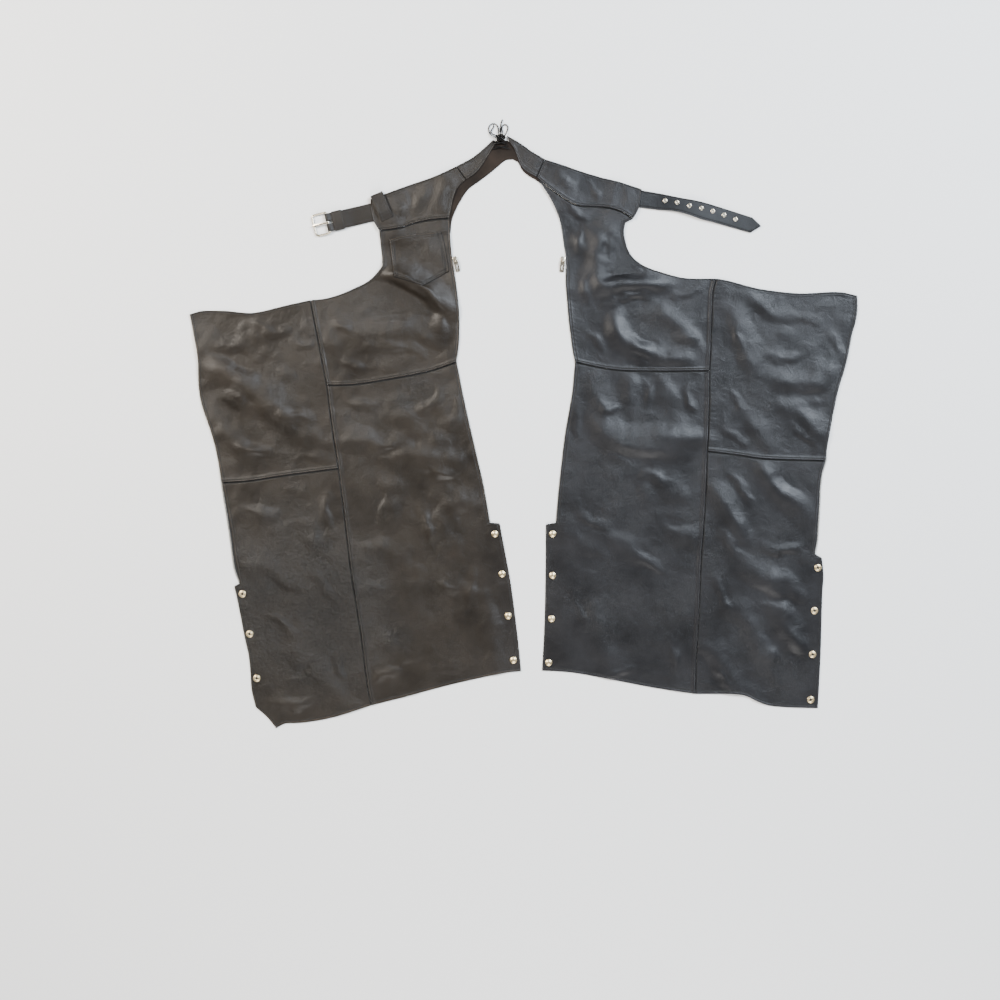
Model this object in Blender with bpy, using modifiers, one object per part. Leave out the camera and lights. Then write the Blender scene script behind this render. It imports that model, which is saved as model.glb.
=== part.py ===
"""Leather chaps laid open on a flat surface, outside up, waist at +Y.

Lengths in the tables are millimetres in the frame that the garment is drawn in: X to the right, Y towards the
waist, Z up from the surface. The wearer's left leg lies at -X. The last step moves the middle of the garment
to the origin.
"""

from collections import namedtuple
from math import asin, cos, pi, radians, sin

import bmesh
import bpy
import numpy as np
from mathutils import Matrix, Vector
from mathutils.bvhtree import BVHTree

MM = 0.001

# --- driving sizes, mm ---
MIDDLE = (2.4, -1.2)  # the middle of the garment's box, where the origin goes
LEATHER = 1.5  # one layer of hide, measured straight up
STRAP = 3.1  # two layers sewn together
GAP = 0.3  # between pieces at a seam, and between a piece and what it lies on
ZIP_TAPE = 0.9
ZIP_TUCK = 11.0  # how far a zip's tape runs in under the leather
ZIP_LIFT = 1.8  # the leather's rise over a zip, at its edge
ZIP_REACH = 50.0  # how far in from the edge that rise dies out
FACING_LIFT = 1.9  # the yokes' rise over the facing, whole within the first distance, gone at the second
FACING_FADE = (58.0, 95.0)
STRAP_LIFT = 3.5  # the yokes' rise over the strap sewn in under each end
STRAP_FADE = (30.0, 85.0)
SNAP_FLAT = (14.0, 34.0)  # no fold within the first distance of a snap, full folds past the second

# Cells across a panel, the same on both sides of a seam.
FRONT_CELLS = 12
BACK_CELLS = 10

Run = namedtuple("Run", "points steps")
Fold = namedtuple("Fold", "start middle end height upper lower")
Strand = namedtuple("Strand", "name route")


# --- curves and surfaces ---
def smooth(points, samples=24):
    """A Catmull-Rom curve through the points, as many short chords."""
    p = np.array(points, float)
    p = np.vstack([2 * p[0] - p[1], p, 2 * p[-1] - p[-2]])
    t = np.linspace(0, 1, samples, endpoint=False)[:, None]
    stretches = []
    for a, b, c, d in zip(p, p[1:], p[2:], p[3:]):
        bend = (2 * a - 5 * b + 4 * c - d) * t**2 + (3 * b - a - 3 * c + d) * t**3
        stretches.append(0.5 * (2 * b + (c - a) * t + bend))
    return np.vstack(stretches + [p[-2]])


def lengths(curve):
    return np.concatenate([[0], np.cumsum(np.linalg.norm(np.diff(curve, axis=0), axis=1))])


def spaced(curve, steps):
    """steps + 1 points evenly along a curve."""
    along = lengths(curve)
    at = np.linspace(0, along[-1], steps + 1)
    return np.stack([np.interp(at, along, axis) for axis in curve.T], 1)


def edge(*runs):
    """An edge of a panel: runs that meet in corners, each smooth in itself."""
    stretches = [spaced(smooth(run.points), run.steps) for run in runs]
    return np.vstack([stretches[0]] + [stretch[1:] for stretch in stretches[1:]])


def patch(top, bottom, left, right):
    """Rows of points filled in between four edges (a Coons patch)."""
    v = 0.5 * (lengths(left) / lengths(left)[-1] + lengths(right) / lengths(right)[-1])[:, None, None]
    u = 0.5 * (lengths(top) / lengths(top)[-1] + lengths(bottom) / lengths(bottom)[-1])[None, :, None]
    across = left[:, None] * (1 - u) + right[:, None] * u
    down = top[None] * (1 - v) + bottom[None] * v
    corners = (top[0] * (1 - u) + top[-1] * u) * (1 - v) + (bottom[0] * (1 - u) + bottom[-1] * u) * v
    return across + down - corners


def inset(grid, by):
    """The grid with its outline moved inwards, for half of the gap at each seam."""
    rows, columns = grid.shape[:2]
    ring = np.vstack([grid[0, :-1], grid[:-1, -1], grid[-1, :0:-1], grid[:0:-1, 0]])
    ahead = np.roll(ring, -1, 0) - ring
    ahead /= np.linalg.norm(ahead, axis=1)[:, None]
    behind = np.roll(ahead, 1, 0)
    area = np.sum(ring[:, 0] * np.roll(ring[:, 1], -1) - ring[:, 1] * np.roll(ring[:, 0], -1))
    inwards = np.sign(area) * (ahead + behind)[:, ::-1] * (-1, 1)
    ring = ring + by * inwards / np.maximum(0.6, 0.5 * np.sum(inwards**2, axis=1))[:, None]
    out = grid.copy()
    sides = np.split(ring, [columns - 1, columns + rows - 2, 2 * columns + rows - 3])
    out[0, :-1], out[:-1, -1], out[-1, :0:-1], out[:0:-1, 0] = sides
    return out


def away_from(line, x, y):
    """The distance of each point from a polyline."""
    nearest = np.full(np.shape(x), 1e9)
    for (ax, ay), (dx, dy) in zip(line[:-1], np.diff(line, axis=0)):
        t = np.clip(((x - ax) * dx + (y - ay) * dy) / (dx * dx + dy * dy), 0, 1)
        nearest = np.minimum(nearest, np.hypot(x - ax - t * dx, y - ay - t * dy))
    return nearest


# --- the cut: seams and edges that more than one piece uses, mm ---
LEFT_YOKE_SEAM = Run([(-301, 421), (-261, 426), (-226, 437), (-190, 444), (-153, 447)], FRONT_CELLS)
LEFT_BACK_SEAM = Run([(-140, 555), (-119, 527)], 2)
LEFT_KNEE = Run([(-411, 97), (-369, 97), (-324, 102), (-232, 118), (-186, 129), (-139, 145)], FRONT_CELLS)
LEFT_CALF_SEAM = Run([(-630, -108), (-572, -104), (-507, -94), (-386, -78)], BACK_CELLS)
LEFT_SEAM_TOP = Run([(-445, 275), (-429, 191), (-411, 97)], 8)
LEFT_SEAM_MIDDLE = Run([(-411, 97), (-398, -1), (-386, -78)], 6)
LEFT_SEAM_FOOT = Run([(-386, -78), (-373, -185), (-359, -300), (-340, -420), (-326, -529), (-317, -576)], 17)
LEFT_ZIP_FRONT = [
    Run([(-146, 345), (-140, 307), (-134, 250), (-134, 191), (-139, 145)], 13),
    Run([(-139, 145), (-123, 63), (-99, -44), (-83, -113), (-69, -192)], 12),
]
LEFT_ZIP_BACK = [
    Run([(-698, 245), (-682, 158), (-680, 111), (-675, 63), (-648, -21), (-630, -108)], 14),
    Run([(-630, -108), (-620, -160), (-610, -218), (-602, -271), (-593, -319)], 7),
]

RIGHT_YOKE_SEAM = Run(
    [(30, 532), (47, 517), (70, 500), (93, 485), (117, 474), (163, 471), (192, 466), (215, 456), (232, 445)],
    FRONT_CELLS,
)
RIGHT_BACK_SEAM = Run([(47, 570), (30, 532)], 3)
RIGHT_KNEE = Run([(111, 145), (163, 134), (205, 128), (268, 126), (324, 126), (393, 127)], FRONT_CELLS)
RIGHT_CALF_SEAM = Run([(388, -42), (446, -49), (501, -57), (562, -60), (636, -62)], BACK_CELLS)
RIGHT_SEAM_TOP = Run([(407, 320), (400, 290), (397, 214), (393, 127)], 7)
RIGHT_SEAM_MIDDLE = Run([(393, 127), (392, 44), (388, -42)], 6)
RIGHT_SEAM_FOOT = Run([(388, -42), (384, -149), (375, -275), (371, -380), (365, -477), (363, -552)], 17)
RIGHT_ZIP_FRONT = [
    Run([(92, 340), (92, 307), (98, 233), (106, 170), (111, 145)], 12),
    Run([(111, 145), (105, 78), (90, -10), (77, -122), (71, -192)], 12),
]
RIGHT_ZIP_BACK = [
    Run([(702, 284), (702, 244), (692, 206), (679, 141), (660, 76), (639, -34), (636, -62)], 13),
    Run([(636, -62), (625, -99), (621, -151), (617, -208), (613, -258)], 7),
]

FACING_EDGE = [
    Run([(-151, 416), (-148, 443), (-140, 464), (-127, 488), (-110, 511), (-85, 528), (-54, 553)], 7),
    Run([(-54, 553), (-41, 564), (-30, 570), (-20, 570), (-9, 563)], 4),
    Run([(-9, 563), (-1, 548), (9, 538), (24, 529), (40, 518)], 4),
]

# --- fittings: where each one sits, mm ---
SNAP_CAPS = {
    "left": [(-58, -216), (-43, -300), (-30, -388), (-19, -481)],
    "right": [(63, -216), (63, -303), (61, -394), (55, -486)],
}
SNAP_SOCKETS = {
    "left": [(-588, -342), (-573, -426), (-558, -519)],
    "right": [(620, -287), (613, -377), (609, -469), (605, -564)],
}
EYELETS = [(299, 483), (324, 479), (350, 472), (375, 467), (399, 461), (423, 453), (447, 444)]
LEFT_STRAP_END = (-308, 459)
RIGHT_STRAP_END = (232, 490)

# --- how the hide lies: one row for each large fold, a ridge along start, middle and end ---
# height is the ridge's rise; upper and lower are how far it runs out on its +Y and its -Y side, all mm
FOLDS = [
    # left thigh: the lip below the pocket, the soft field below it, the creases at the yoke
    Fold((-300, 336), (-215, 296), (-146, 244), 15, 44, 20),
    Fold((-372, 205), (-270, 212), (-165, 190), 6, 48, 48),
    Fold((-386, 262), (-400, 215), (-404, 170), 4, 24, 24),
    Fold((-148, 545), (-167, 506), (-183, 470), 5, 22, 22),
    Fold((-200, 520), (-214, 492), (-222, 466), 4, 20, 22),
    # left shin
    Fold((-385, -10), (-258, -50), (-120, -65), 9, 36, 32),
    Fold((-268, 30), (-236, 22), (-205, 26), 6, 34, 30),
    Fold((-170, 70), (-158, 10), (-196, -20), 4, 24, 24),
    Fold((-100, -122), (-152, -160), (-188, -236), 6, 26, 28),
    Fold((-258, -104), (-276, -140), (-300, -190), 4, 28, 26),
    Fold((-336, -270), (-292, -238), (-256, -272), 4, 28, 28),
    Fold((-250, -296), (-225, -330), (-232, -378), 4, 28, 28),
    Fold((-300, -462), (-262, -448), (-232, -470), 5, 26, 26),
    Fold((-72, -340), (-64, -430), (-62, -512), 5, 24, 26),
    # left back thigh
    Fold((-672, 142), (-585, 92), (-492, 16), 12, 60, 28),
    Fold((-548, 24), (-470, 0), (-404, -30), 6, 26, 26),
    Fold((-684, 192), (-620, 178), (-545, 196), 4, 32, 30),
    Fold((-640, 40), (-600, -30), (-548, -74), 5, 26, 28),
    # left back calf
    Fold((-590, -262), (-522, -312), (-462, -354), 7, 44, 26),
    Fold((-440, -486), (-404, -538), (-374, -572), 6, 26, 26),
    Fold((-500, -420), (-470, -470), (-480, -530), 4, 46, 46),
    Fold((-452, -180), (-432, -230), (-420, -270), 4, 28, 28),
    # right thigh
    Fold((205, 434), (172, 396), (156, 352), 10, 28, 24),
    Fold((156, 372), (154, 330), (168, 298), 8, 26, 22),
    Fold((136, 282), (198, 306), (298, 306), 12, 30, 22),
    Fold((186, 448), (160, 428), (134, 400), 6, 22, 22),
    Fold((102, 392), (130, 384), (172, 402), 5, 20, 20),
    Fold((188, 250), (206, 192), (272, 166), 9, 30, 26),
    Fold((256, 172), (300, 152), (362, 150), 7, 24, 26),
    Fold((264, 246), (316, 232), (374, 174), 7, 26, 24),
    # right shin
    Fold((142, 36), (206, -32), (378, -20), 12, 56, 28),
    Fold((238, 112), (226, 72), (204, 32), 5, 24, 24),
    Fold((290, 108), (306, 76), (328, 44), 5, 24, 24),
    Fold((134, 116), (162, 78), (190, 30), 5, 24, 24),
    Fold((250, -146), (282, -108), (352, -146), 5, 28, 26),
    Fold((304, -206), (342, -218), (376, -240), 5, 26, 26),
    Fold((120, -250), (184, -230), (256, -262), 4, 28, 28),
    Fold((158, -354), (164, -440), (176, -512), 5, 26, 26),
    # right back thigh
    Fold((430, 290), (460, 212), (492, 106), 6, 28, 28),
    Fold((448, 306), (510, 254), (552, 212), 5, 26, 26),
    Fold((520, 118), (584, 90), (658, 132), 7, 38, 24),
    Fold((530, 56), (584, 34), (640, -20), 6, 26, 26),
    Fold((466, 34), (502, -6), (520, -40), 5, 26, 26),
    # right back calf
    Fold((488, -62), (540, -124), (594, -170), 8, 26, 28),
    Fold((396, -104), (426, -156), (468, -230), 8, 26, 28),
    Fold((446, -276), (508, -302), (584, -338), 8, 28, 26),
    Fold((510, -334), (552, -396), (584, -468), 8, 26, 28),
    Fold((446, -354), (478, -406), (510, -500), 5, 26, 26),
    Fold((394, -438), (420, -490), (452, -526), 6, 26, 26),
    Fold((420, -546), (462, -540), (502, -562), 6, 24, 26),
]


def rise(t):
    """1 up to t = 0, easing to 0 where t reaches 1."""
    return 0.5 + 0.5 * np.cos(pi * np.clip(t, 0, 1))


def fading(distance, limits):
    return rise((distance - limits[0]) / (limits[1] - limits[0]))


def fold_height(fold, x, y):
    """A raised-cosine ridge, one side steeper where its two widths differ, fading at both ends."""
    spine = spaced(smooth([fold.start, fold.middle, fold.end]), 12)
    nearest = np.full(np.shape(x), 1e9)
    place = np.zeros(np.shape(x))
    side = np.zeros(np.shape(x))
    upwards = 1 if fold.end[0] >= fold.start[0] else -1
    for i, ((ax, ay), (dx, dy)) in enumerate(zip(spine[:-1], np.diff(spine, axis=0))):
        t = np.clip(((x - ax) * dx + (y - ay) * dy) / (dx * dx + dy * dy), 0, 1)
        off_x, off_y = x - ax - t * dx, y - ay - t * dy
        off = np.hypot(off_x, off_y)
        closer = off < nearest
        nearest = np.where(closer, off, nearest)
        place = np.where(closer, (i + t) / 12, place)
        side = np.where(closer, upwards * (dx * off_y - dy * off_x), side)
    width = np.where(side >= 0, fold.upper, fold.lower)
    fade = np.minimum(1, 0.25 + 4 * np.minimum(place, 1 - place))
    return fold.height * fade * rise(nearest / width)


ZIP_LINES = [edge(*runs) for runs in (LEFT_ZIP_FRONT, LEFT_ZIP_BACK, RIGHT_ZIP_FRONT, RIGHT_ZIP_BACK)]
FACING_LINE = edge(*FACING_EDGE)


def lie(x, y):
    """The height of the hide's underside above the surface."""
    height = sum(fold_height(fold, x, y) for fold in FOLDS)
    for px, py in sum([*SNAP_CAPS.values(), *SNAP_SOCKETS.values()], []):
        height = height * (1 - fading(np.hypot(x - px, y - py), SNAP_FLAT))
    lift = FACING_LIFT * fading(away_from(FACING_LINE, x, y), FACING_FADE)
    for line in ZIP_LINES:
        lift = np.maximum(lift, ZIP_LIFT * np.clip(1 - away_from(line, x, y) / ZIP_REACH, 0, 1))
    for px, py in (LEFT_STRAP_END, RIGHT_STRAP_END):
        lift = np.maximum(lift, STRAP_LIFT * fading(np.hypot(x - px, y - py), STRAP_FADE))
    return height + lift


# --- scene ---
for old in list(bpy.data.objects):
    bpy.data.objects.remove(old)
parts = bpy.data.collections.new("leather_chaps")
cutters = bpy.data.collections.new("cutters")
bpy.context.scene.collection.children.link(parts)
bpy.context.scene.collection.children.link(cutters)


def material(name, colour, roughness, metallic=0.0):
    made = bpy.data.materials.new(name)
    made.use_nodes = True
    shader = made.node_tree.nodes["Principled BSDF"]
    shader.inputs["Base Color"].default_value = (*colour, 1)
    shader.inputs["Roughness"].default_value = roughness
    shader.inputs["Metallic"].default_value = metallic
    return made


HIDE = material("black_hide", (0.030, 0.028, 0.029), 0.42)
FLESH = material("flesh_side", (0.060, 0.042, 0.032), 0.9)
NICKEL = material("nickel", (0.62, 0.60, 0.55), 0.28, 1.0)
BRASS = material("pale_brass", (0.66, 0.60, 0.46), 0.3, 1.0)
TAPE = material("zip_tape", (0.012, 0.012, 0.013), 0.8)
THONG = material("lace_thong", (0.02, 0.017, 0.015), 0.5)


def link(name, data, skin, place=Matrix.Identity(4)):
    made = bpy.data.objects.new(name, data)
    data.materials.append(skin)
    made.matrix_world = place
    parts.objects.link(made)
    return made


def as_cutter(made):
    parts.objects.unlink(made)
    cutters.objects.link(made)
    made.hide_render = True
    made.display_type = "WIRE"
    return made


def cut(made, cutter, operation="DIFFERENCE"):
    step = made.modifiers.new(cutter.name, "BOOLEAN")
    step.object = as_cutter(cutter)
    step.operation = operation


def solid(name, bm, skin, place=Matrix.Identity(4)):
    bmesh.ops.recalc_face_normals(bm, faces=bm.faces)
    mesh = bpy.data.meshes.new(name)
    bm.to_mesh(mesh)
    bm.free()
    return link(name, mesh, skin, place)


def raise_faces(bm, height):
    """Makes the faces of a flat or wavy sheet a closed wall, straight up."""
    raised = bmesh.ops.extrude_face_region(bm, geom=bm.faces[:], use_keep_orig=True)["geom"]
    upper = [item for item in raised if isinstance(item, bmesh.types.BMVert)]
    bmesh.ops.translate(bm, verts=upper, vec=(0, 0, height * MM))


def sheet(name, grid, height, thick, skin):
    """A piece cut from a sheet: rows of points at their heights, raised by its thickness."""
    rows, columns = grid.shape[:2]
    bm = bmesh.new()
    bmesh.ops.create_grid(bm, x_segments=columns - 1, y_segments=rows - 1)
    for vert, point in zip(bm.verts, np.dstack([grid, height]).reshape(-1, 3) * MM):
        vert.co = point
    bmesh.ops.triangulate(bm, faces=bm.faces, quad_method="FIXED")
    raise_faces(bm, thick)
    return solid(name, bm, skin)


def panel(name, top, bottom, left, right):
    grid = inset(patch(edge(*top), edge(*bottom), edge(*left), edge(*right)), GAP / 2)
    return sheet(name, grid, lie(grid[..., 0], grid[..., 1]), LEATHER, HIDE)


# --- left leg ---
left_thigh = panel(
    "left_thigh",
    top=[LEFT_YOKE_SEAM],
    bottom=[LEFT_KNEE],
    left=[
        Run([(-301, 421), (-298, 391), (-295, 365), (-294, 346)], 4),
        Run([(-294, 346), (-303, 334), (-322, 316), (-348, 302), (-383, 287), (-415, 278), (-445, 275)], 7),
        LEFT_SEAM_TOP,
    ],
    right=[Run([(-153, 447), (-151, 401), (-146, 345)], 6), LEFT_ZIP_FRONT[0]],
)
left_shin = panel(
    "left_shin",
    top=[LEFT_KNEE],
    bottom=[
        Run([(-317, -576), (-257, -561), (-194, -544), (-131, -528), (-43, -509), (-3, -504)], FRONT_CELLS),
    ],
    left=[LEFT_SEAM_MIDDLE, LEFT_SEAM_FOOT],
    right=[
        LEFT_ZIP_FRONT[1],
        Run([(-69, -192), (-48, -194)], 1),
        Run([(-48, -194), (-37, -252), (-25, -317), (-15, -391), (-7, -460), (-3, -504)], 10),
    ],
)
left_back_thigh = panel(
    "left_back_thigh",
    top=[Run([(-698, 245), (-675, 252), (-618, 252), (-566, 248), (-495, 264), (-445, 275)], BACK_CELLS)],
    bottom=[LEFT_CALF_SEAM],
    left=[LEFT_ZIP_BACK[0]],
    right=[LEFT_SEAM_TOP, LEFT_SEAM_MIDDLE],
)
left_back_calf = panel(
    "left_back_calf",
    top=[LEFT_CALF_SEAM],
    bottom=[Run([(-517, -624), (-501, -615), (-457, -612), (-396, -601), (-317, -576)], BACK_CELLS)],
    left=[
        LEFT_ZIP_BACK[1],
        Run([(-593, -319), (-605, -326)], 1),
        Run([(-605, -326), (-595, -372), (-585, -426), (-574, -477), (-567, -559), (-560, -580)], 7),
        Run([(-560, -580), (-532, -605), (-517, -624)], 2),
    ],
    right=[LEFT_SEAM_FOOT],
)

# --- right leg ---
right_thigh = panel(
    "right_thigh",
    top=[RIGHT_YOKE_SEAM],
    bottom=[RIGHT_KNEE],
    left=[
        Run([(30, 532), (47, 506), (60, 485), (71, 461), (80, 435), (85, 401), (91, 363), (92, 340)], 8),
        RIGHT_ZIP_FRONT[0],
    ],
    right=[
        Run(
            [(232, 445), (217, 439), (213, 418), (217, 395), (224, 376), (236, 360), (257, 346), (280, 337)],
            8,
        ),
        Run([(280, 337), (310, 328), (341, 321), (373, 320), (407, 320)], 5),
        RIGHT_SEAM_TOP,
    ],
)
right_shin = panel(
    "right_shin",
    top=[RIGHT_KNEE],
    bottom=[Run([(41, -503), (102, -507), (161, -517), (217, -528), (287, -541), (363, -552)], FRONT_CELLS)],
    left=[
        RIGHT_ZIP_FRONT[1],
        Run([(71, -192), (49, -196)], 1),
        Run([(49, -196), (48, -313), (46, -405), (41, -503)], 10),
    ],
    right=[RIGHT_SEAM_MIDDLE, RIGHT_SEAM_FOOT],
)
right_back_thigh = panel(
    "right_back_thigh",
    top=[
        Run([(407, 320), (427, 317), (466, 306), (507, 297), (583, 289), (660, 292), (702, 284)], BACK_CELLS),
    ],
    bottom=[RIGHT_CALF_SEAM],
    left=[RIGHT_SEAM_TOP, RIGHT_SEAM_MIDDLE],
    right=[RIGHT_ZIP_BACK[0]],
)
right_back_calf = panel(
    "right_back_calf",
    top=[RIGHT_CALF_SEAM],
    bottom=[Run([(363, -552), (453, -553), (482, -563), (511, -575), (551, -580), (620, -582)], BACK_CELLS)],
    left=[RIGHT_SEAM_FOOT],
    right=[
        RIGHT_ZIP_BACK[1],
        Run([(613, -258), (628, -266)], 1),
        Run([(628, -266), (632, -292), (629, -357), (626, -468), (620, -582)], 9),
    ],
)

# --- waist: a yoke and a back yoke on each side, sewn over the facing ---
left_yoke = panel(
    "left_yoke",
    top=[Run([(-319, 486), (-289, 497), (-236, 517), (-205, 527), (-173, 539), (-140, 555)], FRONT_CELLS)],
    bottom=[LEFT_YOKE_SEAM],
    left=[Run([(-319, 486), (-318, 462), (-312, 439), (-301, 421)], 6)],
    right=[LEFT_BACK_SEAM, Run([(-119, 527), (-138, 508), (-147, 479), (-153, 447)], 4)],
)
left_back_yoke = panel(
    "left_back_yoke",
    top=[Run([(-140, 555), (-110, 571), (-89, 586), (-62, 611)], 5)],
    bottom=[Run([(-119, 527), (-100, 540), (-87, 554), (-75, 573), (-54, 606)], 5)],
    left=[LEFT_BACK_SEAM],
    right=[Run([(-62, 611), (-54, 606)], 2)],
)
right_back_yoke = panel(
    "right_back_yoke",
    top=[Run([(-33, 620), (-5, 604), (16, 589), (47, 570)], 5)],
    bottom=[Run([(-29, 608), (-18, 593), (-12, 578), (-3, 556), (9, 544), (30, 532)], 5)],
    left=[Run([(-33, 620), (-29, 608)], 3)],
    right=[RIGHT_BACK_SEAM],
)
right_yoke = panel(
    "right_yoke",
    top=[Run([(47, 570), (79, 560), (114, 548), (163, 533), (205, 522), (250, 507)], FRONT_CELLS)],
    bottom=[RIGHT_YOKE_SEAM],
    left=[RIGHT_BACK_SEAM],
    right=[Run([(250, 507), (245, 470), (232, 445)], 3)],
)
facing = patch(
    top=edge(
        Run([(-161, 418), (-160, 454), (-152, 485), (-138, 512), (-114, 536), (-91, 563), (-77, 586)], 7),
        Run([(-77, 586), (-70, 601), (-60, 609), (-45, 612), (-30, 609), (-12, 598)], 4),
        Run([(-12, 598), (1, 574), (11, 558), (27, 547), (48, 532)], 4),
    ),
    bottom=FACING_LINE,
    left=edge(Run([(-161, 418), (-151, 416)], 1)),
    right=edge(Run([(48, 532), (40, 518)], 1)),
)
sheet("back_facing", facing, np.zeros(facing.shape[:2]), LEATHER, FLESH)


# --- what lies on a panel ---
def top_of(made, x, y, radius):
    """The highest point of a piece under a disc, mm."""
    tree = BVHTree.FromPolygons([v.co for v in made.data.vertices], [p.vertices for p in made.data.polygons])
    highest = 0
    for reach in (0, radius / 2, radius):
        for angle in np.linspace(0, 2 * pi, 12, endpoint=False):
            above = Vector((x + reach * cos(angle), y + reach * sin(angle), 100)) * MM
            hit = tree.ray_cast(above, Vector((0, 0, -1)))[0]
            if hit:
                highest = max(highest, hit.z / MM)
    return highest


# The pocket is the thigh's own surface inside the pocket's outline, a layer and a gap higher.
POCKET = [
    (-280, 401), (-257, 408), (-226, 413), (-171, 418), (-163, 388), (-154, 335), (-208, 303), (-270, 322),
]
pocket = link("pocket", left_thigh.data.copy(), HIDE, Matrix.Translation((0, 0, (LEATHER + 1.3 * GAP) * MM)))
bm = bmesh.new()
bm.faces.new([bm.verts.new((x * MM, y * MM, -0.02)) for x, y in POCKET])
raise_faces(bm, 80)
cut(pocket, solid("pocket_outline", bm, HIDE), "INTERSECT")


def turned(name, profile, place, skin, sides=10):
    """A profile of (radius, height) pairs, down its outer side, turned about the upright through a place."""
    mesh = bpy.data.meshes.new(name)
    chain = [(i, i + 1) for i in range(len(profile) - 1)]
    if profile[0][0] > 0:
        chain.append((len(profile) - 1, 0))
    mesh.from_pydata([(r * MM, 0, z * MM) for r, z in profile], chain, [])
    made = link(name, mesh, skin, Matrix.Translation(Vector(place) * MM))
    turn = made.modifiers.new("turn", "SCREW")
    turn.steps = turn.render_steps = sides
    turn.use_merge_vertices = True
    turn.merge_threshold = 0.00001
    return made


def drawn(name, splines, skin, place, cyclic, **settings):
    """A curve object through lists of points."""
    curve = bpy.data.curves.new(name, "CURVE")
    for setting, value in settings.items():
        setattr(curve, setting, value)
    for points in splines:
        spline = curve.splines.new("POLY")
        spline.points.add(len(points) - 1)
        spline.use_cyclic_u = cyclic
        for point, position in zip(spline.points, points):
            point.co = (*(np.resize(position, 3) * MM * (1, 1, len(position) > 2)), 1)
    return link(name, curve, skin, place)


def extruded(name, outlines, thick, place, skin):
    """A flat outline with its holes, extruded both ways from its own XY plane, made a mesh."""
    curve = drawn(
        name, outlines, skin, place, True, dimensions="2D", fill_mode="BOTH", extrude=thick / 2 * MM
    )
    bpy.context.view_layer.update()
    mesh = bpy.data.meshes.new_from_object(curve.evaluated_get(bpy.context.evaluated_depsgraph_get()))
    bpy.data.objects.remove(curve)
    bm = bmesh.new()
    bm.from_mesh(mesh)
    bmesh.ops.remove_doubles(bm, verts=bm.verts, dist=0.000005)
    return solid(name, bm, skin, place)


def wire(name, route, radius, skin, cyclic=False, place=Matrix.Identity(4)):
    return drawn(
        name, [route], skin, place, cyclic,
        dimensions="3D", bevel_depth=radius * MM, bevel_resolution=2, use_fill_caps=not cyclic,
    )


def arc(x, y, radius, start, end, steps=6):
    angles = np.radians(np.linspace(start, end, steps + 1))
    return [(x + radius * cos(a), y + radius * sin(a)) for a in angles]


def lying(x, y, z, angle):
    """A place whose own X points along an angle on the surface, with its Z up."""
    return Matrix.Translation(Vector((x, y, z)) * MM) @ Matrix.Rotation(angle, 4, "Z")


def standing(x, y, z, angle):
    """A place whose own X points along an angle on the surface, with its Y up."""
    return lying(x, y, z, angle) @ Matrix.Rotation(pi / 2, 4, "X")


# --- snaps ---
SNAP_RADIUS = 7.6
CAP = [(0, 3.9), (3.4, 3.5), (6.2, 2.2), (7.4, 0.7), (7.4, 0), (0, 0)]
SOCKET = [
    (0, 0.9), (2.9, 0.9), (3.5, 2.2), (4.8, 2.2), (5.6, 1.1), (SNAP_RADIUS, 0.8), (SNAP_RADIUS, 0), (0, 0),
]
for kind, profile, places, panels in (
    ("snap_cap", CAP, SNAP_CAPS, {"left": left_shin, "right": right_shin}),
    ("snap_socket", SOCKET, SNAP_SOCKETS, {"left": left_back_calf, "right": right_back_calf}),
):
    for side, row in places.items():
        for number, (x, y) in enumerate(row, 1):
            seat = top_of(panels[side], x, y, SNAP_RADIUS) + GAP
            turned(f"{kind}_{side}_{number}", profile, (x, y, seat), BRASS)


# --- zips: a tape under each zip edge; past the leather it shows its teeth by the peek, (place, mm) pairs ---
Zip = namedtuple("Zip", "name line outwards peek")
ZIPS = [
    Zip("zip_left_front", ZIP_LINES[0], -1, [(0, 1.2), (1, 1.2)]),
    Zip("zip_left_back", ZIP_LINES[1], 1, [(0, 0.8), (0.6, 0.8), (0.7, 4.5), (0.96, 7.5), (1, 2.5)]),
    Zip("zip_right_front", ZIP_LINES[2], 1, [(0, 1.2), (1, 1.2)]),
    Zip("zip_right_back", ZIP_LINES[3], -1, [(0, 0.8), (0.6, 0.8), (0.7, 3.5), (0.96, 5.5), (1, 2.5)]),
]
for zip_half in ZIPS:
    ahead = np.gradient(zip_half.line, axis=0)
    ahead /= np.linalg.norm(ahead, axis=1)[:, None]
    outwards = ahead[:, ::-1] * (1, -1) * zip_half.outwards
    shown = np.interp(np.linspace(0, 1, len(ahead)), *np.transpose(zip_half.peek))[:, None]
    tape = np.stack([zip_half.line - outwards * ZIP_TUCK, zip_half.line + outwards * shown], 1)
    sheet(zip_half.name, tape, np.zeros(tape.shape[:2]), ZIP_TAPE, TAPE)

# A slider stands at the top of each front half, beside the leather's edge. Its pull hangs in the bail.
Slider = namedtuple("Slider", "side x y angle")
SLIDERS = [Slider("left", -140.6, 357, radians(-76)), Slider("right", 84.7, 357, radians(-96))]
SLIDER_BODY = 3.6
BAIL_HOLE = 1.6
BAIL_WALL = 1.2
BAIL_WIDE = 3.0
HINGE = 6.0  # the pull's axis above the surface
PULL = 24.0
PULL_THICK = 1.3
PULL_TILT = asin((HINGE - GAP - PULL_THICK / 2) / PULL)
BODY_HALF = [(-9, 3.6), (-8, 4.8), (-4, 5), (3, 4.3), (5.4, 3.6), (6, 2.4)]
PULL_HALF = [(-0.9, 3.2), (0, 4.2), (5, 4.5), (PULL - 1.5, 4.5), (PULL, 3.4)]


def mirrored(half):
    return half + [(x, -y) for x, y in reversed(half)]


def oblong(x0, x1, half_width, corner=0.8):
    flank = [(x0 + corner, half_width), (x1 - corner, half_width)]
    return mirrored([(x0, half_width - corner), *flank, (x1, half_width - corner)])


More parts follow.
